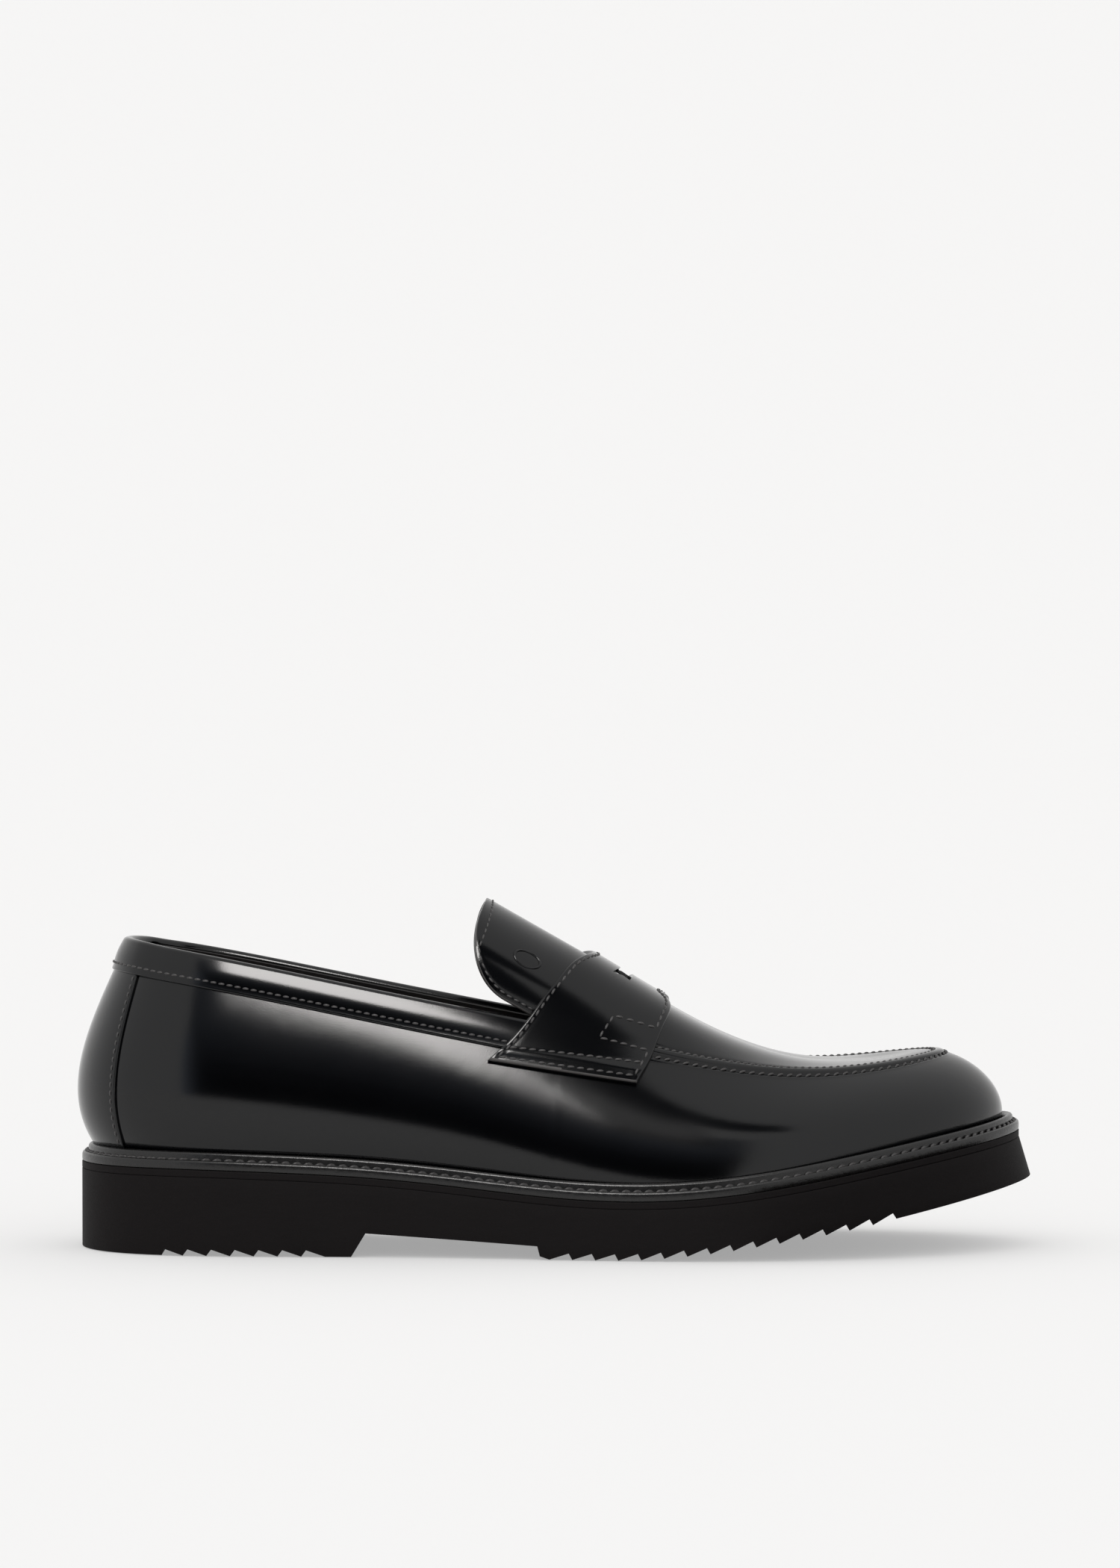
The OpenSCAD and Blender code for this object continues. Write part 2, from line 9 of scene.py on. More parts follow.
import bpy
import numpy as np
from bpy.props import FloatProperty, FloatVectorProperty, PointerProperty
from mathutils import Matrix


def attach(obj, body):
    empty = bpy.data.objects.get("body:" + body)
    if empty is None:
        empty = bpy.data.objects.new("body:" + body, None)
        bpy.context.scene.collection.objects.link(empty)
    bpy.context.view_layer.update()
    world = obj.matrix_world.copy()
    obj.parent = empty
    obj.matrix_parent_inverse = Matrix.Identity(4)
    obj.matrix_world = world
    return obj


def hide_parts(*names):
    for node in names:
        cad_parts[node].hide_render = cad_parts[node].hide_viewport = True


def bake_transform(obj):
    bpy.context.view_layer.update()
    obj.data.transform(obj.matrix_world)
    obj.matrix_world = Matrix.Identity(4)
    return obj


bl_info = {
    "name": "Penny Loafer",
    "version": (1, 0, 0),
    "blender": (4, 5, 0),
    "location": "View3D > Sidebar > Loafer",
    "description": "Makes the pieces, finishes and stage of a penny loafer",
    "category": "Object",
}

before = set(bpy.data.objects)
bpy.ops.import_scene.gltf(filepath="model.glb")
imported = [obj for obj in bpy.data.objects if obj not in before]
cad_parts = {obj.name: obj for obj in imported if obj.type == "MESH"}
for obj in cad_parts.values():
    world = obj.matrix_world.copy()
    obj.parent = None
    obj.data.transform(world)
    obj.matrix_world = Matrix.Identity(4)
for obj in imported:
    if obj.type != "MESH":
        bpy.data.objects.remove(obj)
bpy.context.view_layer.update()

MM = 0.001
SHOE = "shoe"

# Twelve stations run from the middle of the heel (0) to the tip of the toe (11).
# A position t goes all round the shoe: 0 to 11 on the outer side, 11 to 22 on the inner.
TOE = 11
LAP = 2 * TOE

# Edge of the welt seen from above, at each station
OUTER_EDGE = [(-151.6, 1), (-143, -22), (-121, -35), (-90, -38.5), (-55, -40.5), (-20, -45),
              (15, -51), (50, -54.5), (84, -51.5), (116, -40), (140, -19), (149.6, 7)]
INNER_EDGE = [(139, 32.5), (113, 49), (82, 54.5), (50, 52), (15, 45.5), (-20, 38.5),
              (-55, 36), (-90, 36), (-121, 35), (-143, 24)]
# Middle line of the upper, which every rib of the upper runs to
CORE = [(-118, 1), (-117, 1), (-110, 1), (-88, 1), (-55, 1.5), (-20, 2),
        (15, 2.5), (47, 3), (73, 4), (88, 5.5), (93, 6.5), (94, 7)]
# Height of the deck, which is the top of the welt's lip, every DECK_PITCH along X
DECK_REAR, DECK_PITCH = -180, 30
DECK = [30.4, 30.4, 30.3, 29.4, 28.0, 25.3, 22.3, 21.5, 24.1, 29.2, 34.9, 39.8, 44.7]
# Height of the upper's ridge above the middle line
RIDGE = [166, 165.5, 161.5, 149, 130, 110.2, 90.3, 70.9, 60.9, 59.3, 59.2, 59.2]
# The upper's wall: its foot's gap from the welt's edge, the height of its top, its lean on
# each side, and its angles and fullness
FOOT_GAP = [6.4, 6.1, 5.3, 5.3, 5.5, 5.8, 5.6, 5.4, 5.7, 6.0, 6.0, 5.9]
TOP_H = [98.4, 98.0, 95.6, 90.2, 83.1, 76.2, 69.2, 61.6, 58.2, 59.4, 61.3, 62.2]
LEAN_OUTER = [9.5, 9.4, 7.8, 7.9, 8.5, 11.7, 18.2, 23, 23.2, 21, 20.7, 21.5]
LEAN_INNER = [9.5, 9.1, 5.7, 3.9, 2.5, 3.7, 8.7, 14.5, 19.2, 20.4, 20.6, 21.5]
TOP_ANGLE = [66, 66, 69, 70, 70, 66, 60, 48, 36, 24, 12, 6]
FOOT_ANGLE = [38, 35, 29, 25, 22, 17, 7, 1, 8, 15, 17, 15]
FOOT_PULL = [0.36, 0.36, 0.34, 0.34, 0.34, 0.36, 0.38, 0.42, 0.45, 0.47, 0.49, 0.49]
TOP_PULL = [0.42, 0.42, 0.40, 0.38, 0.36, 0.36, 0.38, 0.42, 0.47, 0.50, 0.52, 0.52]

# Rails of the saddle strap at quarters of the way up: station and height on the rib
STRAP_REAR = [(4.97, 0.70), (5.20, 0.87), (5.44, 1.12), (5.67, 1.45), (5.90, 2)]
STRAP_FRONT = [(6.31, 0.70), (6.48, 0.97), (6.61, 1.40), (6.63, 1.72), (6.56, 2)]
STRAP_OUT, STRAP_T = 0.3, 1.8
SLOT_REAR, SLOT_FRONT = 0.38, 0.57
SLOT_HALF = 12.5
STRAP_PITCH, STRAP_SEAM = 3.0, 1.8

# Where the pieces of the upper start and end, in stations
COLLAR_END = 5.4
APRON_START = 6.25
BACKSTAY_END = 1.25

# Thicknesses and layers, measured outwards from the upper's face
UPPER_T = 1.3
LINING_T = 0.8
STIFFENER_T = 0.8
BACKSTAY_PROUD = 0.9
LAYER_GAP = 0.3
GLUE = 0.1
LINING_OUT = -(UPPER_T + 2 * LAYER_GAP + STIFFENER_T)
GRIP_OUT = LINING_OUT - LINING_T - 0.5
COLLAR_H = 10.5
COLLAR_SWELL, COLLAR_LEAN = 0.4, 0.45

# The tongue
TONGUE_SLOPE = math.radians(29.7)
TONGUE_TIP = np.array([-21.6, 2, 111.2])
TONGUE_ARCH = 27
TONGUE_L = 36.3
TONGUE_DEPTH = 24.4
TONGUE_ROUND = 25
TONGUE_T = 1.3

# The sole
WELT_T, MIDSOLE_T, BEAD_H = 3.0, 2.4, 2.5
TREAD = 2.0
PAD_END, HEEL_END, HEEL_TREADS = -124, -64, 8
RECESS_FRONT, RECESS_REAR_H, RECESS_FRONT_H = -5.4, 7.4, 4.1
BALL_START, BALL_END, BALL_TREADS = -2, 106, 15
SPRING = [(-160, 0), (20, 0), (45, 1.9), (66, 4.9), (79, 7.0), (93, 9.5), (106, 12.4),
          (130, 17.7), (153, 22.9)]
TOE_SLANT = 3.8
INSOLE_Z, INSOLE_T, SOCK_T, CUSHION_T = 0.6, 2.2, 1.0, 2.0
SOCK_Z = INSOLE_Z + INSOLE_T + GLUE
CUSHION_END = -62
CUSHION_INSET = 13


# ---- Curves


class Curve:
    """A smooth curve close to evenly counted points; past its ends it mirrors, or it closes."""

    def __init__(self, points, closed=False):
        self.points = np.array(points, float)
        self.closed = closed
        near = self.points[self.inside(np.arange(-1, len(self.points) + 1))]
        self.sharp = near[1:-1] - (near[:-2] - 2 * near[1:-1] + near[2:]) / 6

    def inside(self, index):
        last = len(self.points) - 1
        if self.closed:
            return index % (last + 1)
        return np.where(index > last, 2 * last - index, np.abs(index))

    def __call__(self, s):
        s = np.asarray(s, float)
        i = np.floor(s).astype(int)
        if not self.closed:
            i = np.clip(i, 0, len(self.points) - 2)
        f = s - i
        shares = ((1 - f) ** 3, 3 * f**3 - 6 * f**2 + 4, -3 * f**3 + 3 * f**2 + 3 * f + 1, f**3)
        total = 0
        for k, share in enumerate(shares):
            share = share / 6
            if self.points.ndim > 1:
                share = share[..., None]
            total = total + share * self.sharp[self.inside(i + k - 1)]
        return total


EDGE = Curve(OUTER_EDGE + INNER_EDGE, closed=True)
core, deck_line, ridge = Curve(CORE), Curve(DECK), Curve(RIDGE)
foot_gap, top_height = Curve(FOOT_GAP), Curve(TOP_H)
lean_outer, lean_inner = Curve(LEAN_OUTER), Curve(LEAN_INNER)
top_angle, foot_angle = Curve(TOP_ANGLE), Curve(FOOT_ANGLE)
foot_pull, top_pull = Curve(FOOT_PULL), Curve(TOP_PULL)


def hermite(xs, ys, x):
    """Smooth curve through points of uneven spacing."""
    xs, ys = np.array(xs, float), np.array(ys, float)
    slope = np.gradient(ys)
    slope[1:-1] = (ys[2:] - ys[:-2]) / (xs[2:] - xs[:-2])
    slope[0] = (ys[1] - ys[0]) / (xs[1] - xs[0])
    slope[-1] = (ys[-1] - ys[-2]) / (xs[-1] - xs[-2])
    i = np.clip(np.searchsorted(xs, x, side="right") - 1, 0, len(xs) - 2)
    h = xs[i + 1] - xs[i]
    f = (x - xs[i]) / h
    g = 1 - f
    return ((1 + 2 * f) * g * g * ys[i] + f * g * g * h * slope[i]
            + f * f * (3 - 2 * f) * ys[i + 1] - f * f * g * h * slope[i + 1])


def bezier(p, f):
    g = 1 - f
    return g**3 * p[0] + 3 * f * g * g * p[1] + 3 * f * f * g * p[2] + f**3 * p[3]


def unit(v):
    return v / np.linalg.norm(v, axis=-1, keepdims=True)


def smooth(low, high, x):
    f = np.clip((x - low) / (high - low), 0, 1)
    return f * f * (3 - 2 * f)


def hill(x, top, width):
    return np.exp(-((x - top) / width) ** 2)


def walked(line):
    """Distance in mm gone along a line of corners, or along each line of a grid."""
    step = np.linalg.norm(np.diff(line, axis=-2), axis=-1)
    return np.concatenate([np.zeros((*step.shape[:-1], 1)), np.cumsum(step, axis=-1)], axis=-1)


# ---- The upper as one surface: t round the shoe, q from its foot (0) over the shoulder or
# ---- topline (1) to the ridge (2)


def deck(x):
    return deck_line((x - DECK_REAR) / DECK_PITCH)


def station(t):
    return np.where(t <= TOE, t, LAP - t)


def upper_point(t, q):
    t, q = np.broadcast_arrays(np.asarray(t, float) % LAP, np.asarray(q, float))
    s = station(t)
    middle, edge = core(s), EDGE(t)
    outward = unit(edge - middle)
    foot_xy = edge - outward * foot_gap(s)[..., None]
    foot, top = deck(foot_xy[..., 0]) + 0.2, top_height(s)
    lean = np.where(t <= TOE, lean_outer(s), lean_inner(s))
    a, b = np.radians(top_angle(s)), np.radians(foot_angle(s))
    up, down = foot_pull(s) * (top - foot), top_pull(s) * (top - foot)
    v, w = np.clip(q, 0, 1), np.clip(q - 1, 0, 1)
    wall = (bezier([0, up * np.sin(b), down * np.cos(a) - lean, -lean], v),
            bezier([foot, foot + up * np.cos(b), top - down * np.sin(a), top], v))
    reach = np.linalg.norm(foot_xy - middle, axis=-1)
    run, rise = reach - lean, ridge(s) - top
    pull = 0.3 * run + 0.35 * np.abs(rise)
    lift = np.clip(rise / 14, 0, 1)
    crown = (bezier([-lean, -lean - pull * np.cos(a), -reach + 0.55 * run, -reach], w),
             bezier([top, top + pull * np.sin(a) * lift, top + rise, top + rise], w))
    out, z = (np.where(q <= 1, *pair) for pair in zip(wall, crown))
    return np.stack([foot_xy[..., 0] + outward[..., 0] * out,
                     foot_xy[..., 1] + outward[..., 1] * out, z], -1)


NUDGE = 0.01
RIB_STEPS = 81


def upper_normal(t, q):
    t, q = np.broadcast_arrays(np.asarray(t, float), np.asarray(q, float))
    inside = np.clip(q, 0, 2 - NUDGE)
    face = unit(np.cross(
        upper_point(t + NUDGE, inside) - upper_point(t - NUDGE, inside),
        upper_point(t, inside + NUDGE) - upper_point(t, np.maximum(inside - NUDGE, 0))))
    s = np.minimum(station(t % LAP), TOE - 0.2)
    behind, ahead = s - 0.1, s + 0.1
    crest = unit(np.stack([ridge(behind) - ridge(ahead), 0 * s,
                           core(ahead)[..., 0] - core(behind)[..., 0]], -1))
    share = np.clip((q - (2 - 3 * NUDGE)) / (2 * NUDGE), 0, 1)[..., None]
    return unit(face * (1 - share) + crest * share)


def upper(t, q, out=0.0):
    return upper_point(t, q) + np.asarray(out)[..., None] * upper_normal(t, q)


def height_for(t, distance):
    """Height q on each rib at a distance in mm under the topline, measured along the leather."""
    t, distance = np.broadcast_arrays(np.asarray(t, float), np.asarray(distance, float))
    shape = t.shape
    t, distance = t.ravel(), distance.ravel()
    ribs, which = np.unique(t, return_inverse=True)
    q = np.linspace(1, 0, RIB_STEPS)
    gone = walked(upper_point(ribs[:, None], q[None, :]))
    found = np.empty(len(t))
    for k in range(len(ribs)):
        mine = which == k
        found[mine] = np.interp(distance[mine], gone[k], q)
    return found.reshape(shape)


def collar_depth(t):
    """Distance along the leather from the topline to the collar's lower edge."""
    t = np.asarray(t, float)
    line = upper_point(t.ravel()[:, None], np.linspace(1, 0, RIB_STEPS)[None, :])
    gone, drop = walked(line), line[:, :1, 2] - line[:, :, 2]
    return np.array([np.interp(COLLAR_H, *rib) for rib in zip(drop, gone)]).reshape(t.shape)


# ---- Making pieces


def only(piece):
    """Leaves one object selected and active."""
    if bpy.context.object and bpy.context.object.mode != "OBJECT":
        bpy.ops.object.mode_set(mode="OBJECT")
    bpy.ops.object.select_all(action="DESELECT")
    if piece:
        piece.select_set(True)
        bpy.context.view_layer.objects.active = piece


def corners(piece):
    flat = np.empty(3 * len(piece.data.vertices))
    piece.data.vertices.foreach_get("co", flat)
    return flat.reshape(-1, 3)


def move_corners(piece, places):
    piece.data.vertices.foreach_set("co", np.ascontiguousarray(places, float).ravel())
    piece.data.update()


def pick_faces(piece, test):
    """Selects the faces whose middle passes the test."""
    only(piece)
    middles = np.empty(3 * len(piece.data.polygons))
    piece.data.polygons.foreach_get("center", middles)
    bpy.ops.object.mode_set(mode="EDIT")
    bpy.ops.mesh.select_mode(type="FACE")
    bpy.ops.mesh.select_all(action="DESELECT")
    bpy.ops.object.mode_set(mode="OBJECT")
    piece.data.polygons.foreach_set("select", test(middles.reshape(-1, 3)))
    bpy.ops.object.mode_set(mode="EDIT")


def weld(piece, fill=False):
    """Joins corners that meet, and closes open ends."""
    only(piece)
    bpy.ops.object.mode_set(mode="EDIT")
    bpy.ops.mesh.select_all(action="SELECT")
    bpy.ops.mesh.remove_doubles(threshold=2e-6)
    if fill:
        bpy.ops.mesh.fill_holes(sides=0)
    bpy.ops.object.mode_set(mode="OBJECT")


def flat_grid(name, columns, rows):
    only(None)
    bpy.ops.mesh.primitive_grid_add(x_subdivisions=columns - 1, y_subdivisions=rows - 1, size=2)
    piece = bpy.context.object
    piece.name = piece.data.name = name
    return piece


def places_of(piece, columns, rows):
    """Column and row of each corner of a flat grid, and whether it is on the lower layer."""
    flat = corners(piece)
    column = np.rint((flat[:, 0] + 1) / 2 * (columns - 1)).astype(int)
    row = np.rint((flat[:, 1] + 1) / 2 * (rows - 1)).astype(int)
    return column, row, flat[:, 2] < -0.5


def apply(piece, modifier):
    only(piece)
    bpy.ops.object.modifier_apply(modifier=modifier.name)


def leather_sheet(name, face, back, hole=None, fold=False, bare=None):
    """A flat sheet is given its thickness, and its corners are then laid on the last: `face`
    and `back` hold their places. `hole` tells which flat faces are cut out. With `fold` the
    last row is a crease that both halves of the sheet share. `bare` marks the face's corners
    that show the cut edge's finish."""
    columns, rows = face.shape[:2]
    piece = flat_grid(name, columns, rows)
    if hole:
        pick_faces(piece, hole)
        bpy.ops.mesh.delete(type="FACE")
        bpy.ops.object.mode_set(mode="OBJECT")
    thick = piece.modifiers.new("Thickness", "SOLIDIFY")
    thick.thickness, thick.offset = 1, -1
    thick.use_even_offset = False
    thick.material_offset_rim = 1
    apply(piece, thick)
    if fold:
        pick_faces(piece, lambda m: (m[:, 1] > 1 - 1e-4) & (np.abs(m[:, 2] + 0.5) < 0.4))
        bpy.ops.mesh.delete(type="ONLY_FACE")
        bpy.ops.object.mode_set(mode="OBJECT")
    column, row, low = places_of(piece, columns, rows)
    move_corners(piece, np.where(low[:, None], back[column, row], face[column, row]) * MM)
    if bare is not None:
        marked = bare[column, row] & ~low
        for side in piece.data.polygons:
            if all(marked[v] for v in side.vertices):
                side.material_index = 1
    if fold:
        weld(piece)
    return piece


def closed_sweep(name, loops, ring=False):
    """A closed outline swept along a way: loops[i, j] is corner j of outline i. Each outline
    comes back to its first corner, and with `ring` the way comes back to its first outline."""
    loops = np.concatenate([loops, loops[:, :1]], axis=1)
    if ring:
        loops = np.concatenate([loops, loops[:1]])
    columns, rows = loops.shape[:2]
    piece = flat_grid(name, columns, rows)
    column, row, _ = places_of(piece, columns, rows)
    move_corners(piece, loops[column, row] * MM)
    weld(piece, fill=not ring)
    return piece


def distances(grid):
    """Distance in mm of each corner of a grid to the grid's four sides, along the grid."""
    down, along = walked(grid.swapaxes(0, 1)).T, walked(grid)
    return [down, down[-1:] - down, along, along[:, -1:] - along]


def rounding(distance, radius):
    """How far a rounded edge lies below the face at a distance from it."""
    near = 1 - np.clip(distance / radius, 0, 1)
    return radius * (1 - np.sqrt(np.maximum(1 - near * near, 0)))


# Distances in mm of a sheet's corners from its rounded edges
EDGE_STEPS = (0.08, 0.2, 0.38, 0.6)


def shares(length, pitch, both=True):
    """Shares from 0 to 1 of a length in mm, closer together at one end or both."""
    ends = [step / length for step in EDGE_STEPS]
    rest = np.linspace(0, 1, max(2, round(length / pitch)) + 1)
    rest = rest[(rest > 1.6 * ends[-1]) & (rest < 1 - 1.6 * ends[-1] * both)]
    tail = [1 - e for e in reversed(ends)] if both else []
    return np.unique(np.concatenate([[0], ends, rest, tail, [1]]))


def finish(piece, finishes, body=SHOE, angle=35, stands_for=()):
    """Gives a piece its finishes and smooth faces, and ties it to its body."""
    for material in finishes:
        piece.data.materials.append(material)
    only(piece)
    bpy.ops.object.shade_smooth_by_angle(angle=math.radians(angle))
    if body:
        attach(piece, body)
    if stands_for:
        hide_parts(*stands_for)
    return piece


def upper_sheet(name, t, q, out, back, finishes=("calf", "edge"), fold=False):
    """A sheet of leather on the upper, with ribs at t and heights q on each rib."""
    t = t[:, None]
    piece = leather_sheet(name, upper(t, q, out), upper(t, q, back), fold=fold)
    return finish(piece, [FINISHES[key] for key in finishes], stands_for=[name])


def resample(line, pitch):
    """Spots at a pitch along a line of corners, the line's directions there, and their shares
    of its length."""
    gone = walked(line)
    count = max(1, int(gone[-1] / pitch))
    at = (np.arange(count) + 0.5) * (gone[-1] / count)

    def spot(d):
        return np.stack([np.interp(d, gone, line[:, k]) for k in range(3)], -1)

    way = unit(spot(at + 0.2) - spot(np.maximum(at - 0.2, 0)))
    return spot(at), way, at / gone[-1]


def stitches(name, rows, body=SHOE):
    """One piece of thread for all the stitches of a seam. A row is (line, normals of the
    line, pitch, length, thickness, slant in degrees, lift)."""
    only(None)
    bpy.ops.mesh.primitive_uv_sphere_add(segments=6, ring_count=6, radius=1)
    model = bpy.context.object
    ball = corners(model)
    faces = [tuple(f.vertices) for f in model.data.polygons]
    along = ball[:, 2]
    radius = np.maximum(np.hypot(ball[:, 0], ball[:, 1]), 1e-6)
    girth = np.where(np.abs(along) > 0.999, 0, np.sqrt(np.maximum(1 - along**4, 0)) / radius)
    places, joined, count = [], [], 0
    for line, normals, pitch, length, thick, slant, lift in rows:
        spot, way, share = resample(line, pitch)
        where = np.linspace(0, 1, len(normals))
        normal = unit(np.stack([np.interp(share, where, part) for part in normals.T], -1))
        side = unit(np.cross(normal, way))
        normal = np.cross(way, side)
        turn = math.radians(slant)
        ahead = way * math.cos(turn) + side * math.sin(turn)
        aside = np.cross(normal, ahead)
        rise = ball[:, 1] * girth * thick / 2 - along**2 * thick * 0.45
        for k in range(len(spot)):
            places.append(spot[k] + normal[k] * lift
                          + np.outer(along * length / 2, ahead[k])
                          + np.outer(ball[:, 0] * girth * thick / 2, aside[k])
                          + np.outer(rise, normal[k]))
            joined += [tuple(v + count for v in f) for f in faces]
            count += len(ball)
    bpy.data.objects.remove(model)
    mesh = bpy.data.meshes.new(name)
    mesh.from_pydata((np.concatenate(places) * MM).tolist(), [], joined)
    piece = bpy.data.objects.new(name, mesh)
    bpy.context.scene.collection.objects.link(piece)
    return finish(piece, [FINISHES["thread"]], body, angle=60, stands_for=[name])


def surface_row(spots, pitch, length, thick, slant, lift, out=0.0):
    """A row of stitches over (t, q) spots of the upper."""
    t, q = np.asarray(spots, float).T
    return (upper(t, q, out), upper_normal(t, q), pitch, length, thick, slant, lift)


# ---- Finishes


class Value:
    """What a node gives out, to do sums with."""

    def __init__(self, finish_, socket):
        self.finish, self.socket = finish_, socket

    def sum(self, operation, first, second):
        return self.finish.node("Math", {"operation": operation}, {0: first, 1: second})

    def __add__(self, other):
        return self.sum("ADD", self, other)

    def __radd__(self, other):
        return self.sum("ADD", other, self)

    def __mul__(self, other):
        return self.sum("MULTIPLY", self, other)

    def __rmul__(self, other):
        return self.sum("MULTIPLY", other, self)


class Finish:
    """A material being made: a maker of nodes, and its surface."""

    def __init__(self, name, **constants):
        self.material = bpy.data.materials.new(name)
        self.material.use_nodes = True
        self.nodes = self.material.node_tree.nodes
        self.links = self.material.node_tree.links
        self.surface = self.nodes["Principled BSDF"]
        for socket, value in constants.items():
            self.surface.inputs[socket.replace("_", " ")].default_value = value

    def node(self, kind, settings=None, sockets=None, out=0):
        """Makes a node of a kind, with its settings first and then its sockets' values or links."""
        made = self.nodes.new("ShaderNode" + kind)
        for key, value in (settings or {}).items():
            setattr(made, key, value)
        for key, value in (sockets or {}).items():
            if isinstance(value, Value):
                self.links.new(value.socket, made.inputs[key])
            else:
                made.inputs[key].default_value = value
        return Value(self, made.outputs[out])

    def place(self, stretch=(1, 1, 1)):
        """Object coordinates, stretched along each axis."""
        where = self.node("TexCoord", out="Object")
        if stretch == (1, 1, 1):
            return where
        return self.node("Mapping", sockets={"Vector": where, "Scale": stretch})

    def noise(self, size_mm, detail=3.0, roughness=0.5, stretch=(1, 1, 1)):
        return self.node("TexNoise", sockets={
            "Vector": self.place(stretch), "Scale": 1 / (size_mm * MM),
            "Detail": detail, "Roughness": roughness})

    def cells(self, size_mm, feature="DISTANCE_TO_EDGE"):
        return self.node("TexVoronoi", {"feature": feature}, {
            "Vector": self.place(), "Scale": 1 / (size_mm * MM)}, out="Distance")

    def tint(self, share, first, second):
        """Colour between two, by a share from 0 to 1."""
        return self.node("Mix", {"data_type": "RGBA"},
                         {"Factor": share, "A": (*first, 1), "B": (*second, 1)}, out="Result")

    def bumps(self, height, depth_mm, strength):
        made = self.node("Bump", sockets={
            "Height": height, "Distance": depth_mm * MM, "Strength": strength})
        self.links.new(made.socket, self.surface.inputs["Normal"])

    def feed(self, socket, value):
        self.links.new(value.socket, self.surface.inputs[socket])


def make_calf(name, colour, gloss):
    """Polished box calf: a fine grain, faint waves and a slightly uneven polish."""
    f = Finish(name, Specular_IOR_Level=0.4)
    cloud = f.noise(26, detail=2)
    pores = f.cells(0.55)
    fine = f.noise(0.35, detail=2)
    f.feed("Base Color", f.tint(cloud, colour, [c * 1.35 for c in colour]))
    f.feed("Roughness", gloss + 0.05 * cloud + 0.03 * fine)
    f.bumps(pores * 0.5 + fine * 0.3 + f.noise(9, detail=1) * 1.6, 0.03, 0.5)
    return f.material


def make_grained(name, colour, tones, size, polish, bump, stretch=(1, 1, 1), detail=4,
                 roughness=0.5, **constants):
    """A finish with one grain, which tints it, dulls it and lifts it together."""
    f = Finish(name, **constants)
    grain = f.noise(size, detail, roughness, stretch)
    f.feed("Base Color", f.tint(grain, *([c * tone for c in colour] for tone in tones)))
    f.feed("Roughness", polish[0] + polish[1] * grain)
    f.bumps(grain, *bump)
    return f.material


def make_foam(name, colour):
    """Dense black foam rubber, brushed lengthwise on its sides."""
    f = Finish(name, Specular_IOR_Level=0.13)
    brushed = f.noise(1.2, detail=4, roughness=0.65, stretch=(0.12, 1, 1))
    speck = f.noise(0.5, detail=3)
    cloud = f.noise(30, detail=3)
    f.feed("Base Color", f.tint(brushed * 0.6 + cloud * 0.4, [c * 0.6 for c in colour],
                                [c * 1.4 for c in colour]))
    f.feed("Roughness", 0.6 + 0.2 * speck)
    f.bumps(brushed * 0.7 + speck * 0.5, 0.12, 0.5)
    return f.material


def make_lining(name, colour):
    """Soft matt lining leather with open pores."""
    f = Finish(name, Specular_IOR_Level=0.4)
    cloud = f.noise(18, detail=3)
    pores = f.cells(0.8)
    f.feed("Base Color", f.tint(cloud * 0.7 + pores * 0.4, [c * 0.75 for c in colour],
                                [c * 1.25 for c in colour]))
    f.feed("Roughness", 0.5 + 0.15 * cloud)
    f.bumps(pores * 0.6 + f.noise(0.5) * 0.4, 0.08, 0.5)
    return f.material


def make_suede(name, colour):
    """Napped grip leather."""
    f = Finish(name, Sheen_Weight=0.3, Sheen_Roughness=0.5)
    nap = f.noise(0.4, detail=4)
    cloud = f.noise(8, detail=2)
    f.feed("Base Color", f.tint(nap * 0.5 + cloud * 0.5, [c * 0.6 for c in colour],
                                [c * 1.4 for c in colour]))
    f.feed("Roughness", 0.85 + 0.1 * nap)
    f.bumps(nap, 0.15, 0.7)
    return f.material


def make_cork(name, light, dark):
    f = Finish(name)
    crumbs = f.cells(2.2, "F1")
    fine = f.noise(0.8, detail=4)
    f.feed("Base Color", f.tint(crumbs * 1.1 + fine * 0.3, dark, light))
    f.feed("Roughness", 0.75 + 0.15 * fine)
    f.bumps(crumbs * 0.5 + fine * 0.5, 0.3, 0.8)
    return f.material


FINISHES = {}


def make_finishes(colours):
    calf, edge, foam, welt, thread, lining = (
        tuple(getattr(colours, key))
        for key in ("calf", "edge", "foam", "welt", "thread", "lining"))
    FINISHES.update(
        calf=make_calf("polished_box_calf", calf, 0.09),
        edge=make_grained("painted_calf_edge", edge, (0.7, 1.3), 0.5, (0.42, 0.2), (0.12, 0.6)),
        foam=make_foam("black_foam_rubber", foam),
        welt=make_grained("waxed_welt_leather", welt, (0.75, 1.25), 0.8, (0.2, 0.16), (0.1, 0.5),
                          stretch=(0.5, 0.5, 1)),
        thread=make_grained("waxed_black_thread", thread, (0.6, 1.4), 0.25, (0.38, 0.2),
                            (0.08, 0.6), detail=2),
        lining=make_lining("black_lining_leather", lining),
        suede=make_suede("napped_grip_leather", lining),
        cork=make_cork("ground_cork", (0.42, 0.25, 0.12), (0.17, 0.08, 0.035)),
        board=make_grained("pressed_fibre_board", (0.42, 0.30, 0.19), (0.75, 1.2), 1.0,
                           (0.7, 0.2), (0.12, 0.6), stretch=(0.35, 1, 1), detail=5,
                           roughness=0.7),
        steel=make_grained("spring_steel", (0.55, 0.56, 0.58), (0.85, 1), 0.3, (0.25, 0.2),
                           (0.03, 0.4), stretch=(0.05, 1, 1), Metallic=1.0),
    )


# ---- The upper


def wall_profile(below, fade):
    """Relief of the wall under its seam with the apron: a raised band that rounds over the
    seam, then a sunken stitch groove."""
    rise = np.interp(below, [0, 0.25, 0.6, 1.1, 1.8, 2.6, 3.1, 3.45, 3.8, 4.2, 4.7, 5.6],
                     [-0.35, 0.15, 0.45, 0.62, 0.68, 0.6, 0.35, -0.05, -0.16, -0.05, 0.08, 0])
    return rise * fade


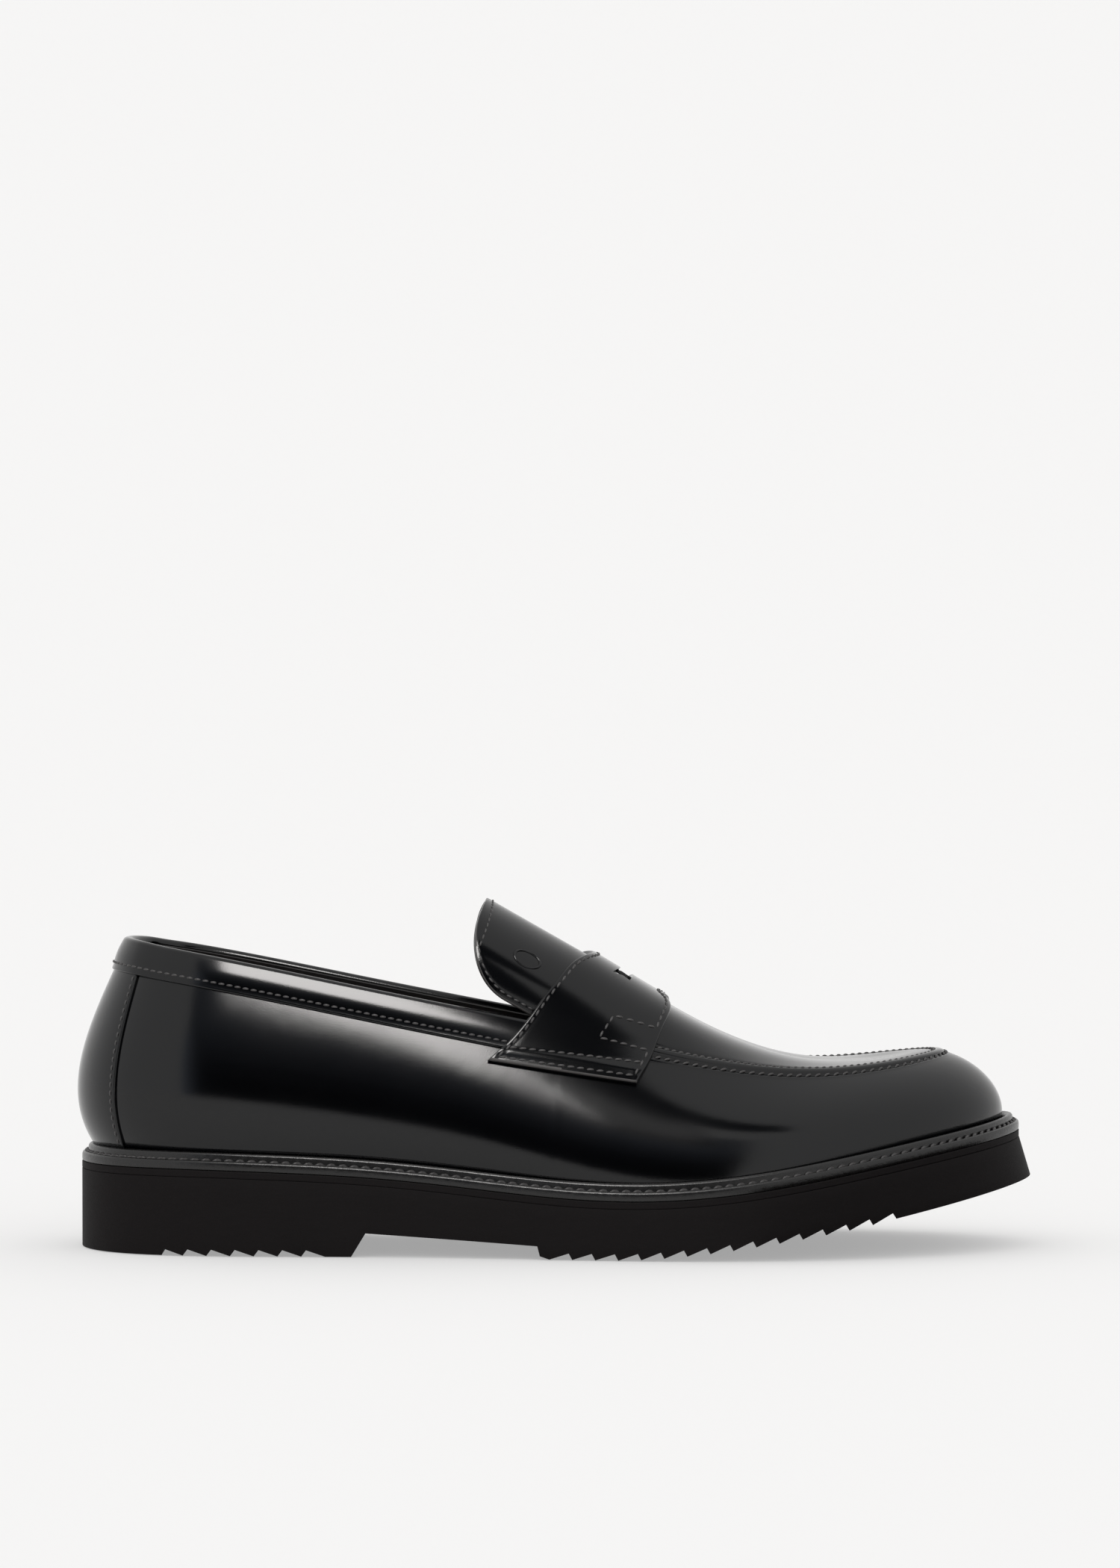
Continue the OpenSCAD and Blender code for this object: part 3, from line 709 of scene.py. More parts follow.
def rib_table(t, heights, near):
    """Distances along each rib, close together at first, and the heights q there."""
    gone = walked(upper_point(t[:, None], heights))
    rest = near[-1] + (gone[:, -1:] - near[-1]) * np.linspace(0.03, 1, 34)[None, :]
    distance = np.concatenate([np.tile(near, (len(t), 1)), rest], axis=1)
    return distance, np.stack([np.interp(*rib) for rib in zip(distance, gone, heights)])


def make_side_wall(sizes):
    t = np.linspace(0.02, LAP - 0.02, 441)
    s = station(t)
    under_collar = height_for(t, np.where(s < 5.6, collar_depth(t) - 1.2, 5))
    top = under_collar + (1 - under_collar) * smooth(5.5, 5.75, s)
    near = [0, 0.12, 0.25, 0.4, 0.6, 0.85, 1.1, 1.45, 1.8, 2.2, 2.6, 2.85, 3.1, 3.3, 3.45, 3.6,
            3.8, 4.0, 4.2, 4.45, 4.7, 5.1, 5.6]
    below, q = rib_table(t, top[:, None] * (1 - np.linspace(0, 1, 61)[None, :]), near)
    q, below = q[:, ::-1], below[:, ::-1]
    out = wall_profile(below, smooth(6.0, 6.35, s)[:, None])
    upper_sheet("side_wall", t, q, out, -UPPER_T)


def make_apron(sizes):
    t = np.linspace(APRON_START - 0.15, LAP - APRON_START + 0.15, 261)
    heights = np.tile(np.linspace(1, 2, RIB_STEPS), (len(t), 1))
    above, q = rib_table(t, heights, [0, 0.15, 0.3, 0.5, 0.8, 1.2, 1.7, 2.4])
    q[:, -1] = 2
    out = np.interp(above, [0, 0.3, 0.8, 1.7, 2.4], [-0.75, -0.4, -0.12, -0.01, 0])
    upper_sheet("apron", t, q, out, -UPPER_T, fold=True)


def collar_out(t):
    """The collar laps over the wall, and over the backstay on the heel."""
    s = np.minimum(t % LAP, LAP - t % LAP)
    return 0.85 + 0.85 * (1 - smooth(1.1, 1.7, s))


def make_collar(sizes):
    """The collar swells a little, leans out toward its top, and rolls over in a rim."""
    t = np.linspace(-COLLAR_END, COLLAR_END, 241)
    rim = sizes.collar_rim / MM
    loops = []
    turn = np.radians(np.arange(0, 181, 15))
    for edge_out, edge in zip(collar_out(t), collar_depth(t)):
        top_out = edge_out + COLLAR_LEAN
        inner = top_out - 2 * rim
        face = np.linspace(edge - 1.2, rim + 0.3, 9)
        share = np.clip((face - rim) / (edge - 1.2 - rim), 0, 1)
        down = [edge, edge, edge - 0.12, edge - 0.35, edge - 0.7]
        proud = [-0.15, edge_out - 0.45, edge_out - 0.15, edge_out - 0.03, edge_out]
        down += list(face) + list(rim - rim * np.sin(turn)) + [3.5, 5.0, 5.25, 5.25, 7]
        proud += list(edge_out + COLLAR_SWELL * np.sin(np.pi * share) + COLLAR_LEAN * (1 - share))
        proud += list(top_out - rim + rim * np.cos(turn))
        proud += [inner, inner, inner + 0.2, -0.6, -0.4]
        loops.append(np.array([down, proud]))
    loops = np.array(loops)
    down, proud = loops[:, 0], loops[:, 1]
    q = height_for(t[:, None], down)
    piece = closed_sweep("collar_band", upper(t[:, None], q, proud))
    return finish(piece, [FINISHES["calf"]], angle=50, stands_for=["collar_band"])


def make_backstay(sizes):
    t = -BACKSTAY_END + 2 * BACKSTAY_END * shares(2 * 32, 1.2)
    top = height_for(t, collar_depth(t) - 1.2)
    q = 0.02 + (top[:, None] - 0.02) * shares(60, 1.6, both=False)[None, :]
    left, right, _, _ = distances(upper(t[:, None], q))
    upper_sheet("backstay", t, q, BACKSTAY_PROUD - rounding(np.minimum(left, right), 0.5), -0.1)


# ---- The saddle strap


def strap_spot(w, c):
    """Position of the strap at w from the outer end (0) over the ridge (1) to the inner end
    (2), and c from its rear edge (0) to its front edge (1)."""
    way = np.linspace(0, 2, 9)
    spot = []
    for part in (0, 1):
        rails = []
        for rail in (STRAP_REAR, STRAP_FRONT):
            half = [point[part] for point in rail]
            other = half[-2::-1] if part == 0 else [4 - h for h in half[-2::-1]]
            rails.append(hermite(way, half + other, w))
        spot.append(rails[0] * (1 - c) + rails[1] * c)
    s, q = spot
    return np.where(q <= 2, s, LAP - s), np.where(q <= 2, q, 4 - q)


def strap_place(w, c, out):
    t, q = strap_spot(w, c)
    return upper(t, q, out)


def strap_length():
    """Distance in mm gone along the strap's middle line, and the position w there."""
    w = np.linspace(0, 2, 200)
    return walked(strap_place(w, np.full(200, 0.5), 0)), w


def make_strap(sizes):
    gone, way = strap_length()
    length, top = gone[-1], np.interp(1, way, gone)
    slot = np.interp([top - SLOT_HALF, top + SLOT_HALF], gone, way)
    ws = np.interp(shares(length, 1.2) * length, gone, way)
    low, high = np.argmin(np.abs(ws - slot[0])), np.argmin(np.abs(ws - slot[1]))
    ws[low], ws[high] = slot
    cs = shares(46, 1.6)
    first, last = np.argmin(np.abs(cs - SLOT_REAR)), np.argmin(np.abs(cs - SLOT_FRONT))
    cs[first], cs[last] = SLOT_REAR, SLOT_FRONT
    w, c = np.meshgrid(ws, cs, indexing="ij")
    across = np.clip((c - SLOT_REAR) / (SLOT_FRONT - SLOT_REAR), 0, 1)
    tail = 0.035 * np.abs(2 * across - 1) - 0.02
    near = hill(w, slot[0], 0.09) - hill(w, slot[1], 0.09)
    w = w - tail * near * np.clip(1 - 4 * np.maximum(SLOT_REAR - c, c - SLOT_FRONT), 0, 1)
    base = strap_place(w, c, 0)
    start, end, rear, front = distances(base)
    edge = np.minimum(np.minimum(start, end), np.minimum(rear, front))
    out = STRAP_OUT + STRAP_T - rounding(edge, 0.55)
    hem = np.minimum(start, end)
    out = out + 0.28 * np.sin(np.pi * np.clip((hem - 2.1) / 5.1, 0, 1)) ** 2
    inside = np.minimum(rear, front)
    out = out + 0.1 * hill(inside, 0.9, 0.5) - 0.14 * hill(inside, 1.8, 0.35)
    count = len(ws) - 1, len(cs) - 1

    def in_slot(m):
        i, j = (m[:, 0] + 1) / 2 * count[0], (m[:, 1] + 1) / 2 * count[1]
        return (i > low) & (i < high) & (j > first) & (j < last)

    piece = leather_sheet("saddle_strap", strap_place(w, c, out), strap_place(w, c, STRAP_OUT),
                          hole=in_slot, bare=hem < 1.2)
    return finish(piece, [FINISHES["calf"], FINISHES["edge"]],
                  stands_for=["saddle_strap"])


# ---- The tongue


def tongue_half(l0):
    """Depth of the tongue's edge below its ridge at a distance from the tip."""
    near = np.clip(1 - l0 / TONGUE_ROUND, 0, 1)
    return TONGUE_DEPTH * np.sqrt(1 - near * near)


def tongue_point(l0, k, out):
    """Point of the tongue at l0 mm from the tip along its ridge, and share k from edge to edge."""
    l0, k, out = np.broadcast_arrays(*(np.asarray(v, float) for v in (l0, k, out)))
    a = k * np.arccos(1 - tongue_half(l0) / TONGUE_ARCH)
    h = TONGUE_ARCH * (1 - np.cos(a))
    back = np.clip(l0 / TONGUE_L, 0, 1) * (0.25 * h) * np.clip(2 - l0 / TONGUE_L, 0, 1)
    reach = l0 - back
    depth = h - out * np.cos(a)
    c, d = math.cos(TONGUE_SLOPE), math.sin(TONGUE_SLOPE)
    return TONGUE_TIP + np.stack([reach * c - depth * d,
                                  TONGUE_ARCH * np.sin(a) + out * np.sin(a),
                                  -reach * d - depth * c], -1)


TONGUE_REACH = TONGUE_L + 9


def tongue_grid():
    near = np.linspace(0, 1, 12) ** 2 * 4 + 0.03
    return (np.concatenate([near, np.linspace(5, TONGUE_REACH, 36)])[:, None],
            (-1 + 2 * shares(74, 1.4))[None, :])


def bend_with_leaf(piece):
    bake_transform(piece)


def make_tongue(sizes):
    l0, k = tongue_grid()
    start, _, left, right = distances(tongue_point(l0, k, 0))
    edge = np.minimum(np.minimum(left, right), start)
    out = -rounding(edge, 0.5) - 0.25 * smooth(1.6, 0.9, edge)
    face, back = tongue_point(l0, k, out), tongue_point(l0, k, -TONGUE_T)
    piece = leather_sheet("tongue", face[::-1], back[::-1], bare=(edge < 1.15)[::-1])
    finish(piece, [FINISHES["calf"], FINISHES["edge"]], body=None,
           stands_for=["tongue", "tongue_root"])
    bend_with_leaf(piece)
    low = -TONGUE_T - 0.15
    face, back = tongue_point(l0, k, low), tongue_point(l0, k, low - LINING_T)
    piece = leather_sheet("tongue_lining", face[::-1], back[::-1])
    finish(piece, [FINISHES["lining"], FINISHES["edge"]], body=None,
           stands_for=["tongue_lining"])
    bend_with_leaf(piece)
    make_emblem(sizes)


def make_emblem(sizes):
    """A plain oval ring, pressed up from the tongue's outer side."""
    turn = np.linspace(0, 2 * math.pi, 73)[:-1]
    wide, tall = sizes.emblem_length / MM / 2, sizes.emblem_length / MM / 2 * 0.66
    arch = math.acos(1 - 9.8 / TONGUE_ARCH)

    def ring_point(scale, out):
        l = 22 + wide * scale * np.cos(turn)
        a = -arch + tall * scale * np.sin(turn) / TONGUE_ARCH
        h = TONGUE_ARCH * (1 - np.cos(a))
        c, d = math.cos(TONGUE_SLOPE), math.sin(TONGUE_SLOPE)
        depth = h - out * np.cos(a)
        reach = l - 0.25 * h * 0.6
        return TONGUE_TIP + np.stack([reach * c - depth * d,
                                      (TONGUE_ARCH + out) * np.sin(a), -reach * d - depth * c], -1)

    profile = [(0.86, -0.3), (0.87, 0.1), (0.91, 0.34), (0.97, 0.42), (1.03, 0.34), (1.07, 0.1),
               (1.08, -0.3)]
    loops = np.stack([ring_point(scale, out) for scale, out in profile], 1)
    piece = closed_sweep("emblem_ring", loops[::-1], ring=True)
    finish(piece, [FINISHES["calf"]], body=None, angle=60)
    bend_with_leaf(piece)


# ---- Linings and the inside


def make_linings(sizes):
    for name, t, q, fold in (
            ("quarter_lining", np.linspace(-6.05, 6.05, 181), np.linspace(0.04, 0.985, 30), False),
            ("vamp_lining", np.linspace(6.0, LAP - 6.0, 201), np.linspace(0.04, 2, 50), True)):
        upper_sheet(name, t, q, LINING_OUT, LINING_OUT - LINING_T, ("lining", "lining"),
                    fold)
    t, q = -2 + 4 * shares(2 * 55, 1.5), 0.3 + 0.62 * shares(40, 1.6)
    edge = np.min(distances(upper(t[:, None], q)), axis=0)
    upper_sheet("heel_grip", t, q, GRIP_OUT, GRIP_OUT - LINING_T + rounding(edge, 0.5),
                ("suede", "suede"))


# ---- The sole


def inset_edge(t, gap):
    way = unit(EDGE(t + NUDGE) - EDGE(t - NUDGE))
    inward = np.stack([-way[..., 1], way[..., 0]], -1)
    return EDGE(t) + inward * np.asarray(gap)[..., None]


def outline(gap, share):
    """The sole's outline at a gap inside the welt's edge: x at shares from heel to toe, and y
    on the outer and the inner side."""
    t = np.linspace(0, LAP, 8801)[:-1]
    line = inset_edge(t, gap)
    rear, front = np.argmin(line[:, 0]), np.argmax(line[:, 0])
    line = np.roll(line, -rear, axis=0)
    turn = (front - rear) % len(t)
    outer, inner = line[:turn + 1], np.concatenate([line[turn:], line[:1]])[::-1]
    x = outer[0, 0] + (outer[-1, 0] - outer[0, 0]) * share
    return x, np.interp(x, outer[:, 0], outer[:, 1]), np.interp(x, inner[:, 0], inner[:, 1])


def spring(x):
    xs, ys = zip(*SPRING)
    return np.where(x < 20, 0, hermite(xs, ys, np.clip(x, xs[0], xs[-1])))


def tread_line():
    """Heights of the underside at its corners, from heel to toe."""
    heel = (HEEL_END - PAD_END) / HEEL_TREADS
    ball = (BALL_END - BALL_START) / BALL_TREADS
    line = [(-180, 0), (PAD_END, 0)]
    for i in range(HEEL_TREADS - 1):
        x = PAD_END + i * heel
        line += [(x + 0.1 * heel, TREAD), (x + 0.9 * heel, 0)]
    line += [(HEEL_END, 0), (HEEL_END + 4.5, RECESS_REAR_H), (RECESS_FRONT, RECESS_FRONT_H),
             (RECESS_FRONT + 0.8, 1)]
    for i in range(BALL_TREADS):
        x = BALL_START + i * ball
        line += [(x + 0.05 * ball, float(spring(x))),
                 (x + 0.9 * ball, float(spring(x + 0.9 * ball)) + TREAD)]
    return line + [(BALL_END + 0.05 * ball, float(spring(BALL_END)))]


def underside(x):
    xs, ys = zip(*tread_line())
    return np.where(x >= xs[-1], spring(x), np.interp(x, xs, ys))


def make_slab(name, gap, top, bottom, corner, slant=0.0, extra=()):
    """A layer of the sole between two heights over the outline, with rounded edges."""
    rear, _, _ = outline(gap, np.array([0.0, 1.0]))
    length = rear[1] - rear[0]
    even = np.concatenate([(1 - np.cos(np.radians(np.arange(0, 90, 3)))) * 30 / length,
                           np.arange(30, length - 30, 3) / length,
                           1 - (1 - np.cos(np.radians(np.arange(87, -1, -3)))) * 30 / length])
    share = np.unique(np.concatenate([even, [(x - rear[0]) / length for x in extra
                                             if rear[0] + 1 < x < rear[1] - 1]]))
    xs = rear[0] + length * share
    turn = np.radians([0, 30, 60, 90])
    rows = [(corner * (1 - math.sin(a)), 1, corner * (1 - math.cos(a))) for a in turn]
    rows += [(0, 0.75, 0), (0, 0.5, 0), (0, 0.25, 0)]
    rows += [(corner * (1 - math.cos(a)), 0, -corner * (1 - math.sin(a))) for a in turn]
    high, low = top(xs), bottom(xs)
    sides = [[], []]
    for inset, level, drop in rows:
        x, outer, inner = outline(gap + inset, share)
        z = low + (high - low) * level - drop
        x = x + slant * np.maximum(0, (xs - 60) / 90) ** 2 * (1 - (z - low) / (high - low))
        for side, y in zip(sides, (outer, inner)):
            side.append(np.stack([x, y, z], -1))
    middle = [sides[0][-1] * (1 - f) + sides[1][-1] * f for f in (0.25, 0.5, 0.75)]
    upper_middle = [sides[1][0] * (1 - f) + sides[0][0] * f for f in (0.25, 0.5, 0.75)]
    loops = np.stack(sides[0] + middle + sides[1][::-1] + upper_middle, 1)
    return closed_sweep(name, loops[:, ::-1])


def make_soles(sizes):
    under = [x for x, _ in tread_line()]
    piece = make_slab("outsole", 0.1, lambda x: deck(x) - WELT_T - MIDSOLE_T, underside, 0.25,
                      slant=TOE_SLANT, extra=under)
    finish(piece, [FINISHES["foam"]], angle=30, stands_for=["outsole"])
    piece = make_slab("midsole", 0.1, lambda x: deck(x) - WELT_T - 0.1,
                      lambda x: deck(x) - WELT_T - MIDSOLE_T + 0.05, 0.3)
    finish(piece, [FINISHES["foam"]], angle=50, stands_for=["midsole"])


def make_welt_strip(sizes):
    bead = sizes.bead_radius / MM
    centre = 3.35
    turn = np.radians(np.arange(0, 181, 15))
    arch = [(centre - bead * math.cos(a), BEAD_H - bead + bead * math.sin(a)) for a in turn]
    profile = [(8.4, -WELT_T), (0.5, -WELT_T), (0.28, -WELT_T + 0.1), (0.15, -WELT_T + 0.35),
               (0.12, -2), (0.12, -1.4), (0.16, -0.9), (0.28, -0.5), (0.5, -0.2), (0.8, -0.05),
               (1.1, 0), (1.3, -0.02), (1.42, -0.15), (1.5, -0.4), (1.75, -0.5), (2.0, -0.4),
               (2.1, -0.1)] + arch + [(centre + bead, 0), (8.4, -0.1)]
    t = np.linspace(0, LAP, 441)[:-1]
    gap, height = np.array(profile).T
    grid_t = np.repeat(t[:, None], len(profile), 1)
    line = inset_edge(grid_t, gap[None, :] * np.ones_like(grid_t))
    loops = np.concatenate([line, (deck(line[..., 0]) + height[None, :])[..., None]], -1)
    piece = closed_sweep("welt", loops, ring=True)
    return finish(piece, [FINISHES["welt"]], angle=50, stands_for=["welt"])


def cushion(x):
    return CUSHION_T * np.clip((CUSHION_END - x) / 20, 0, 1)


def make_footbed(sizes):
    rise = SOCK_Z + GLUE
    piece = make_slab("sock_lining", 9.8, lambda x: deck(x) + rise + cushion(x) + SOCK_T,
                      lambda x: deck(x) + rise + cushion(x), 0.4)
    finish(piece, [FINISHES["lining"]], angle=50, stands_for=["sock_lining"])
    x, outer, inner = outline(CUSHION_INSET, 0.002 + 0.3 * np.linspace(0, 1, 61) ** 1.5)
    x, outer, inner = x[x < CUSHION_END - 1], outer[x < CUSHION_END - 1], inner[x < CUSHION_END - 1]
    across = 0.5 - 0.5 * np.cos(np.linspace(0, math.pi, 31))
    y = outer[:, None] + (inner - outer)[:, None] * across
    x = np.repeat(x[:, None], len(across), 1)
    low = deck(x) + SOCK_Z
    edge = np.min(distances(np.stack([x, y, low], -1)), axis=0)
    high = low + cushion(x) * (1 - 0.6 * rounding(edge, 3) / 3)
    piece = leather_sheet("heel_cushion", np.stack([x, y, high], -1), np.stack([x, y, low], -1))
    finish(piece, [FINISHES["foam"]] * 2, angle=50, stands_for=["heel_cushion"])


# ---- Threads


def make_welt_thread(sizes):
    t = np.linspace(0, LAP, 1201)
    line = inset_edge(t, np.full(len(t), 1.75))
    line = np.column_stack([line, deck(line[:, 0]) - 0.1])
    up = np.repeat([[0, 0, 1.0]], len(t), 0)
    stitches("welt_thread", [(line, up, 3.6, 3.3, 1.1, 24, 0.28)])


def make_upper_threads(sizes):
    t = np.linspace(6.3, LAP - 6.3, 700)
    first = surface_row(np.column_stack([t, height_for(t, 0.05)]), 2.3, 2.0, 0.85, 16, 0.12)
    second = surface_row(np.column_stack([t, height_for(t, 3.7)]), 3.0, 2.6, 0.8, 30, 0.16)
    stitches("apron_thread", [first, second])
    t = np.linspace(-COLLAR_END + 0.1, COLLAR_END - 0.1, 500)
    spots = np.column_stack([t, height_for(t, collar_depth(t) - 2.3)])
    out = collar_out(t) + 0.44 * COLLAR_SWELL + 0.14 * COLLAR_LEAN
    stitches("collar_thread", [surface_row(spots, 2.6, 2.1, 0.72, 6, 0.14, out)])
    height = np.linspace(0.06, 0.86, 60)
    rows = []
    for sign in (-1, 1):
        spots = np.column_stack([np.full(60, sign * (BACKSTAY_END - 0.065)), height])
        rows.append(surface_row(spots, 2.6, 2.0, 0.62, 0, 0.1, BACKSTAY_PROUD))
    stitches("backstay_thread", rows)


def strap_row(w, c):
    """A row of stitches over positions of the strap."""
    return surface_row(np.column_stack(strap_spot(w, c)), STRAP_PITCH, STRAP_PITCH * 0.82, 0.75, 8,
                       0.12, STRAP_OUT + STRAP_T)


def make_strap_thread(sizes):
    """Rows along the strap's edges and its two hems, which step round a box at the front."""
    def width(w):
        return np.linalg.norm(strap_place(w, 1 + 0 * w, 0) - strap_place(w, 0 * w, 0), axis=-1)

    gone, way = strap_length()
    low, hem = (float(np.interp(mm, gone, way)) for mm in (2.1, 7.2))
    front = 1 - STRAP_SEAM / float(width(np.array([0.2]))[0])
    rear = STRAP_SEAM / float(width(np.array([0.05]))[0])
    box_low, box_high, deep, slant = 0.23, 0.36, 0.585, 0.045
    low_corner, high_corner = (box_low + slant, deep), (box_high + slant, deep + 0.03)
    runs = [((low, rear), (low, front)), ((hem, rear), (hem, front)),
            ((low, front), (box_low, front)), ((box_low, front), low_corner),
            (low_corner, high_corner), (high_corner, (box_high, front))]
    w = np.linspace(low, 2 - low, 400)
    rows = [strap_row(w, STRAP_SEAM / width(w))]
    for mirror in (False, True):
        for start, end in runs:
            w, c = np.linspace(start, end, 40).T
            rows.append(strap_row(2 - w if mirror else w, c))
    w = np.linspace(box_high, 2 - box_high, 300)
    rows.append(strap_row(w, 1 - STRAP_SEAM / width(w)))
    stitches("strap_thread", rows)


def make_tongue_thread(sizes):
    side = np.linspace(TONGUE_L + 2, 6, 120)
    angle = np.linspace(math.pi, 0, 80)[1:-1]
    spots = [(l, -1.0) for l in side]
    spots += [(2.1 + 3.9 * abs(math.cos(a)) ** 1.6, math.cos(a)) for a in angle]
    spots += [(l, 1.0) for l in side[::-1]]
    l0, share = np.array(spots).T
    arc = TONGUE_ARCH * np.arccos(1 - tongue_half(l0) / TONGUE_ARCH)
    share = share * (1 - 1.9 / arc)
    line = tongue_point(l0, share, 0)
    normals = tongue_point(l0, share, 1) - line
    piece = stitches("tongue_thread", [(line, normals, 2.6, 2.0, 0.62, 6, 0.08)], body=None)
    bend_with_leaf(piece)


# ---- Inner pieces that stay as the frame has them


def dress_inner_pieces():
    for node, name in (("cork_filler", "cork"), ("shank", "steel"), ("insole_rib", "board"),
                       ("insole_board", "board"), ("heel_counter", "board"),
                       ("toe_puff", "board")):
        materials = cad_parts[node].data.materials
        materials.clear()
        materials.append(FINISHES[name])


# ---- Stage


def glow(name, colour, strength):
    material = bpy.data.materials.new(name)
    material.use_nodes = True
    surface = material.node_tree.nodes["Principled BSDF"]
    surface.inputs["Base Color"].default_value = (0, 0, 0, 1)
    surface.inputs["Specular IOR Level"].default_value = 0
    surface.inputs["Emission Color"].default_value = (*colour, 1)
    surface.inputs["Emission Strength"].default_value = strength
    return material


def unseen(board):
    """Leaves a board of the stage only in reflections."""
    board.visible_camera = board.visible_diffuse = False
    board.visible_shadow = board.visible_transmission = False
    return board


def panel(name, centre, size, turn, material):
    """A flat board that shows only in reflections."""
    only(None)
    bpy.ops.mesh.primitive_plane_add(size=1)
    board = bpy.context.object
    board.name = name
    board.scale = (*size, 1)
    board.rotation_euler = turn
    board.location = centre
    board.data.materials.append(material)
    return unseen(board)


def make_stage(sizes):
    scene = bpy.context.scene
    scene.view_settings.view_transform = "Standard"
    world = bpy.data.worlds.new("studio")
    scene.world = world
    world.use_nodes = True
    sky = world.node_tree.nodes["Background"]
    sky.inputs["Color"].default_value = (1, 1, 1, 1)
    sky.inputs["Strength"].default_value = 0.903

    angle = np.radians(np.arange(0, 91, 5))
    profile = [(-4, 0), (-1.5, 0), (0, 0), (1.5, 0)]
    profile += [(2 + 1.5 * math.sin(a), 1.5 - 1.5 * math.cos(a)) for a in angle] + [(3.5, 5)]
    floor = flat_grid("floor", 2, len(profile))
    column, row, _ = places_of(floor, 2, len(profile))
    y, z = np.array(profile)[row].T
    move_corners(floor, np.column_stack([(2 * column - 1) * 5, y, z - 0.0002]))
    paper = bpy.data.materials.new("paper")
    paper.use_nodes = True
    surface = paper.node_tree.nodes["Principled BSDF"]
    surface.inputs["Base Color"].default_value = (0.63, 0.625, 0.62, 1)
    surface.inputs["Roughness"].default_value = 1
    surface.inputs["Specular IOR Level"].default_value = 0
    surface.inputs["Emission Color"].default_value = (1, 1, 1, 1)
    surface.inputs["Emission Strength"].default_value = 0.352
    floor.data.materials.append(paper)
    for face in floor.data.polygons:
        face.use_smooth = True

    # The dark room behind the camera, brighter higher up and toward its sides: each board is
    # (left, right, bottom, top, shine)
    dim = [(-0.72, 0.16, 0.0, 0.55, 0), (-0.80, -0.72, 0.0, 1.35, 0.06),
           (-0.88, -0.80, 0.0, 1.35, 0.18), (-0.97, -0.88, 0.0, 1.35, 0.36),
           (-1.06, -0.97, 0.0, 1.35, 0.6), (-0.72, 0.16, 0.55, 0.85, 0.02),
           (-0.72, 0.16, 0.85, 1.1, 0.07), (-0.72, 0.16, 1.1, 1.35, 0.13),
           (-1.0, 0.16, 1.35, 2.6, 0.2)]
    for number, (left, right, low, high, shine) in enumerate(dim):
        board = glow(f"dim_board_{number}", (0.85, 0.95, 1.15), shine)
        panel(f"camera_side_board_{number}", ((left + right) / 2, -2.2, (low + high) / 2),
              (right - left, high - low), (math.radians(90), 0, 0), board)
    # A small dim flag beside the strap, wider at its top
    flag = flat_grid("strap_side_flag", 2, 4)
    column, row, _ = places_of(flag, 2, 4)
    right = np.array([0.046, 0.046, 0.10, 0.10])[row]
    height = np.array([0.12, 0.205, 0.215, 0.30])[row]
    move_corners(flag, np.column_stack([np.where(column > 0, right, 0.002),
                                        np.full(len(row), -0.145), height]))
    flag.data.materials.append(glow("strap_side_dim", (0.85, 0.95, 1.15), 0.04))
    unseen(flag)
    dark = glow("dark_card", (0, 0, 0), 0)
    sector = flat_grid("dark_floor_card", 25, 2)
    column, row, _ = places_of(sector, 25, 2)
    turn, reach = np.radians(6 + column / 24 * 86), 0.03 + 0.42 * row
    move_corners(sector, np.column_stack([0.06 + reach * np.sin(turn), -reach * np.cos(turn),
                                          np.full(len(reach), 0.001)]))
    sector.data.materials.append(dark)
    unseen(sector)
    # The soft light beside the quarter: its lower edge climbs toward the strap
    edge = np.array([(-0.14, 0.295), (-0.085, 0.278), (-0.061, 0.262), (-0.040, 0.258),
                     (-0.023, 0.274), (0.0, 0.312), (0.005, 0.325)])
    rows = [(-0.024, -0.011, 1.5), (-0.011, 0, 6), (0, None, 19)]
    for number, (low, high, shine) in enumerate(rows):
        board = flat_grid(f"soft_light_board_{number}", len(edge), 2)
        column, row, _ = places_of(board, len(edge), 2)
        x, foot = edge[column].T
        top = 0.46 if high is None else foot + high
        move_corners(board, np.column_stack([x, np.full(len(x), -0.295),
                                             np.where(row > 0, top, foot + low)]))
        board.data.materials.append(glow(f"soft_light_{number}", (1, 0.98, 0.96), shine))
        unseen(board)

    bpy.ops.object.camera_add(location=(0, -1.9946, 0.2015),
                              rotation=(math.radians(90 - 1.5477), 0, math.radians(-0.0514)))
    camera = bpy.context.object
    camera.data.lens = 143.19
    camera.data.sensor_width = 36
    camera.data.clip_start, camera.data.clip_end = 0.05, 50
    scene.camera = camera


# ---- The add-on


# How a size that is a length is shown
LENGTH = {"subtype": "DISTANCE", "unit": "LENGTH"}


class LoaferSizes(bpy.types.PropertyGroup):
    """Sizes of the details that a maker would change."""

    collar_rim: FloatProperty(name="Collar rim", description="Radius of the collar's rolled rim",
                              default=1.7 * MM, min=0.001, max=0.003, **LENGTH)
    bead_radius: FloatProperty(name="Bead radius", description="Radius of the welt's raised bead",
                               default=1.2 * MM, min=0.0006, max=0.002, **LENGTH)
    emblem_length: FloatProperty(name="Emblem length",
                                 description="Length of the tongue's oval ring",
                                 default=9 * MM, min=0.004, max=0.014, **LENGTH)


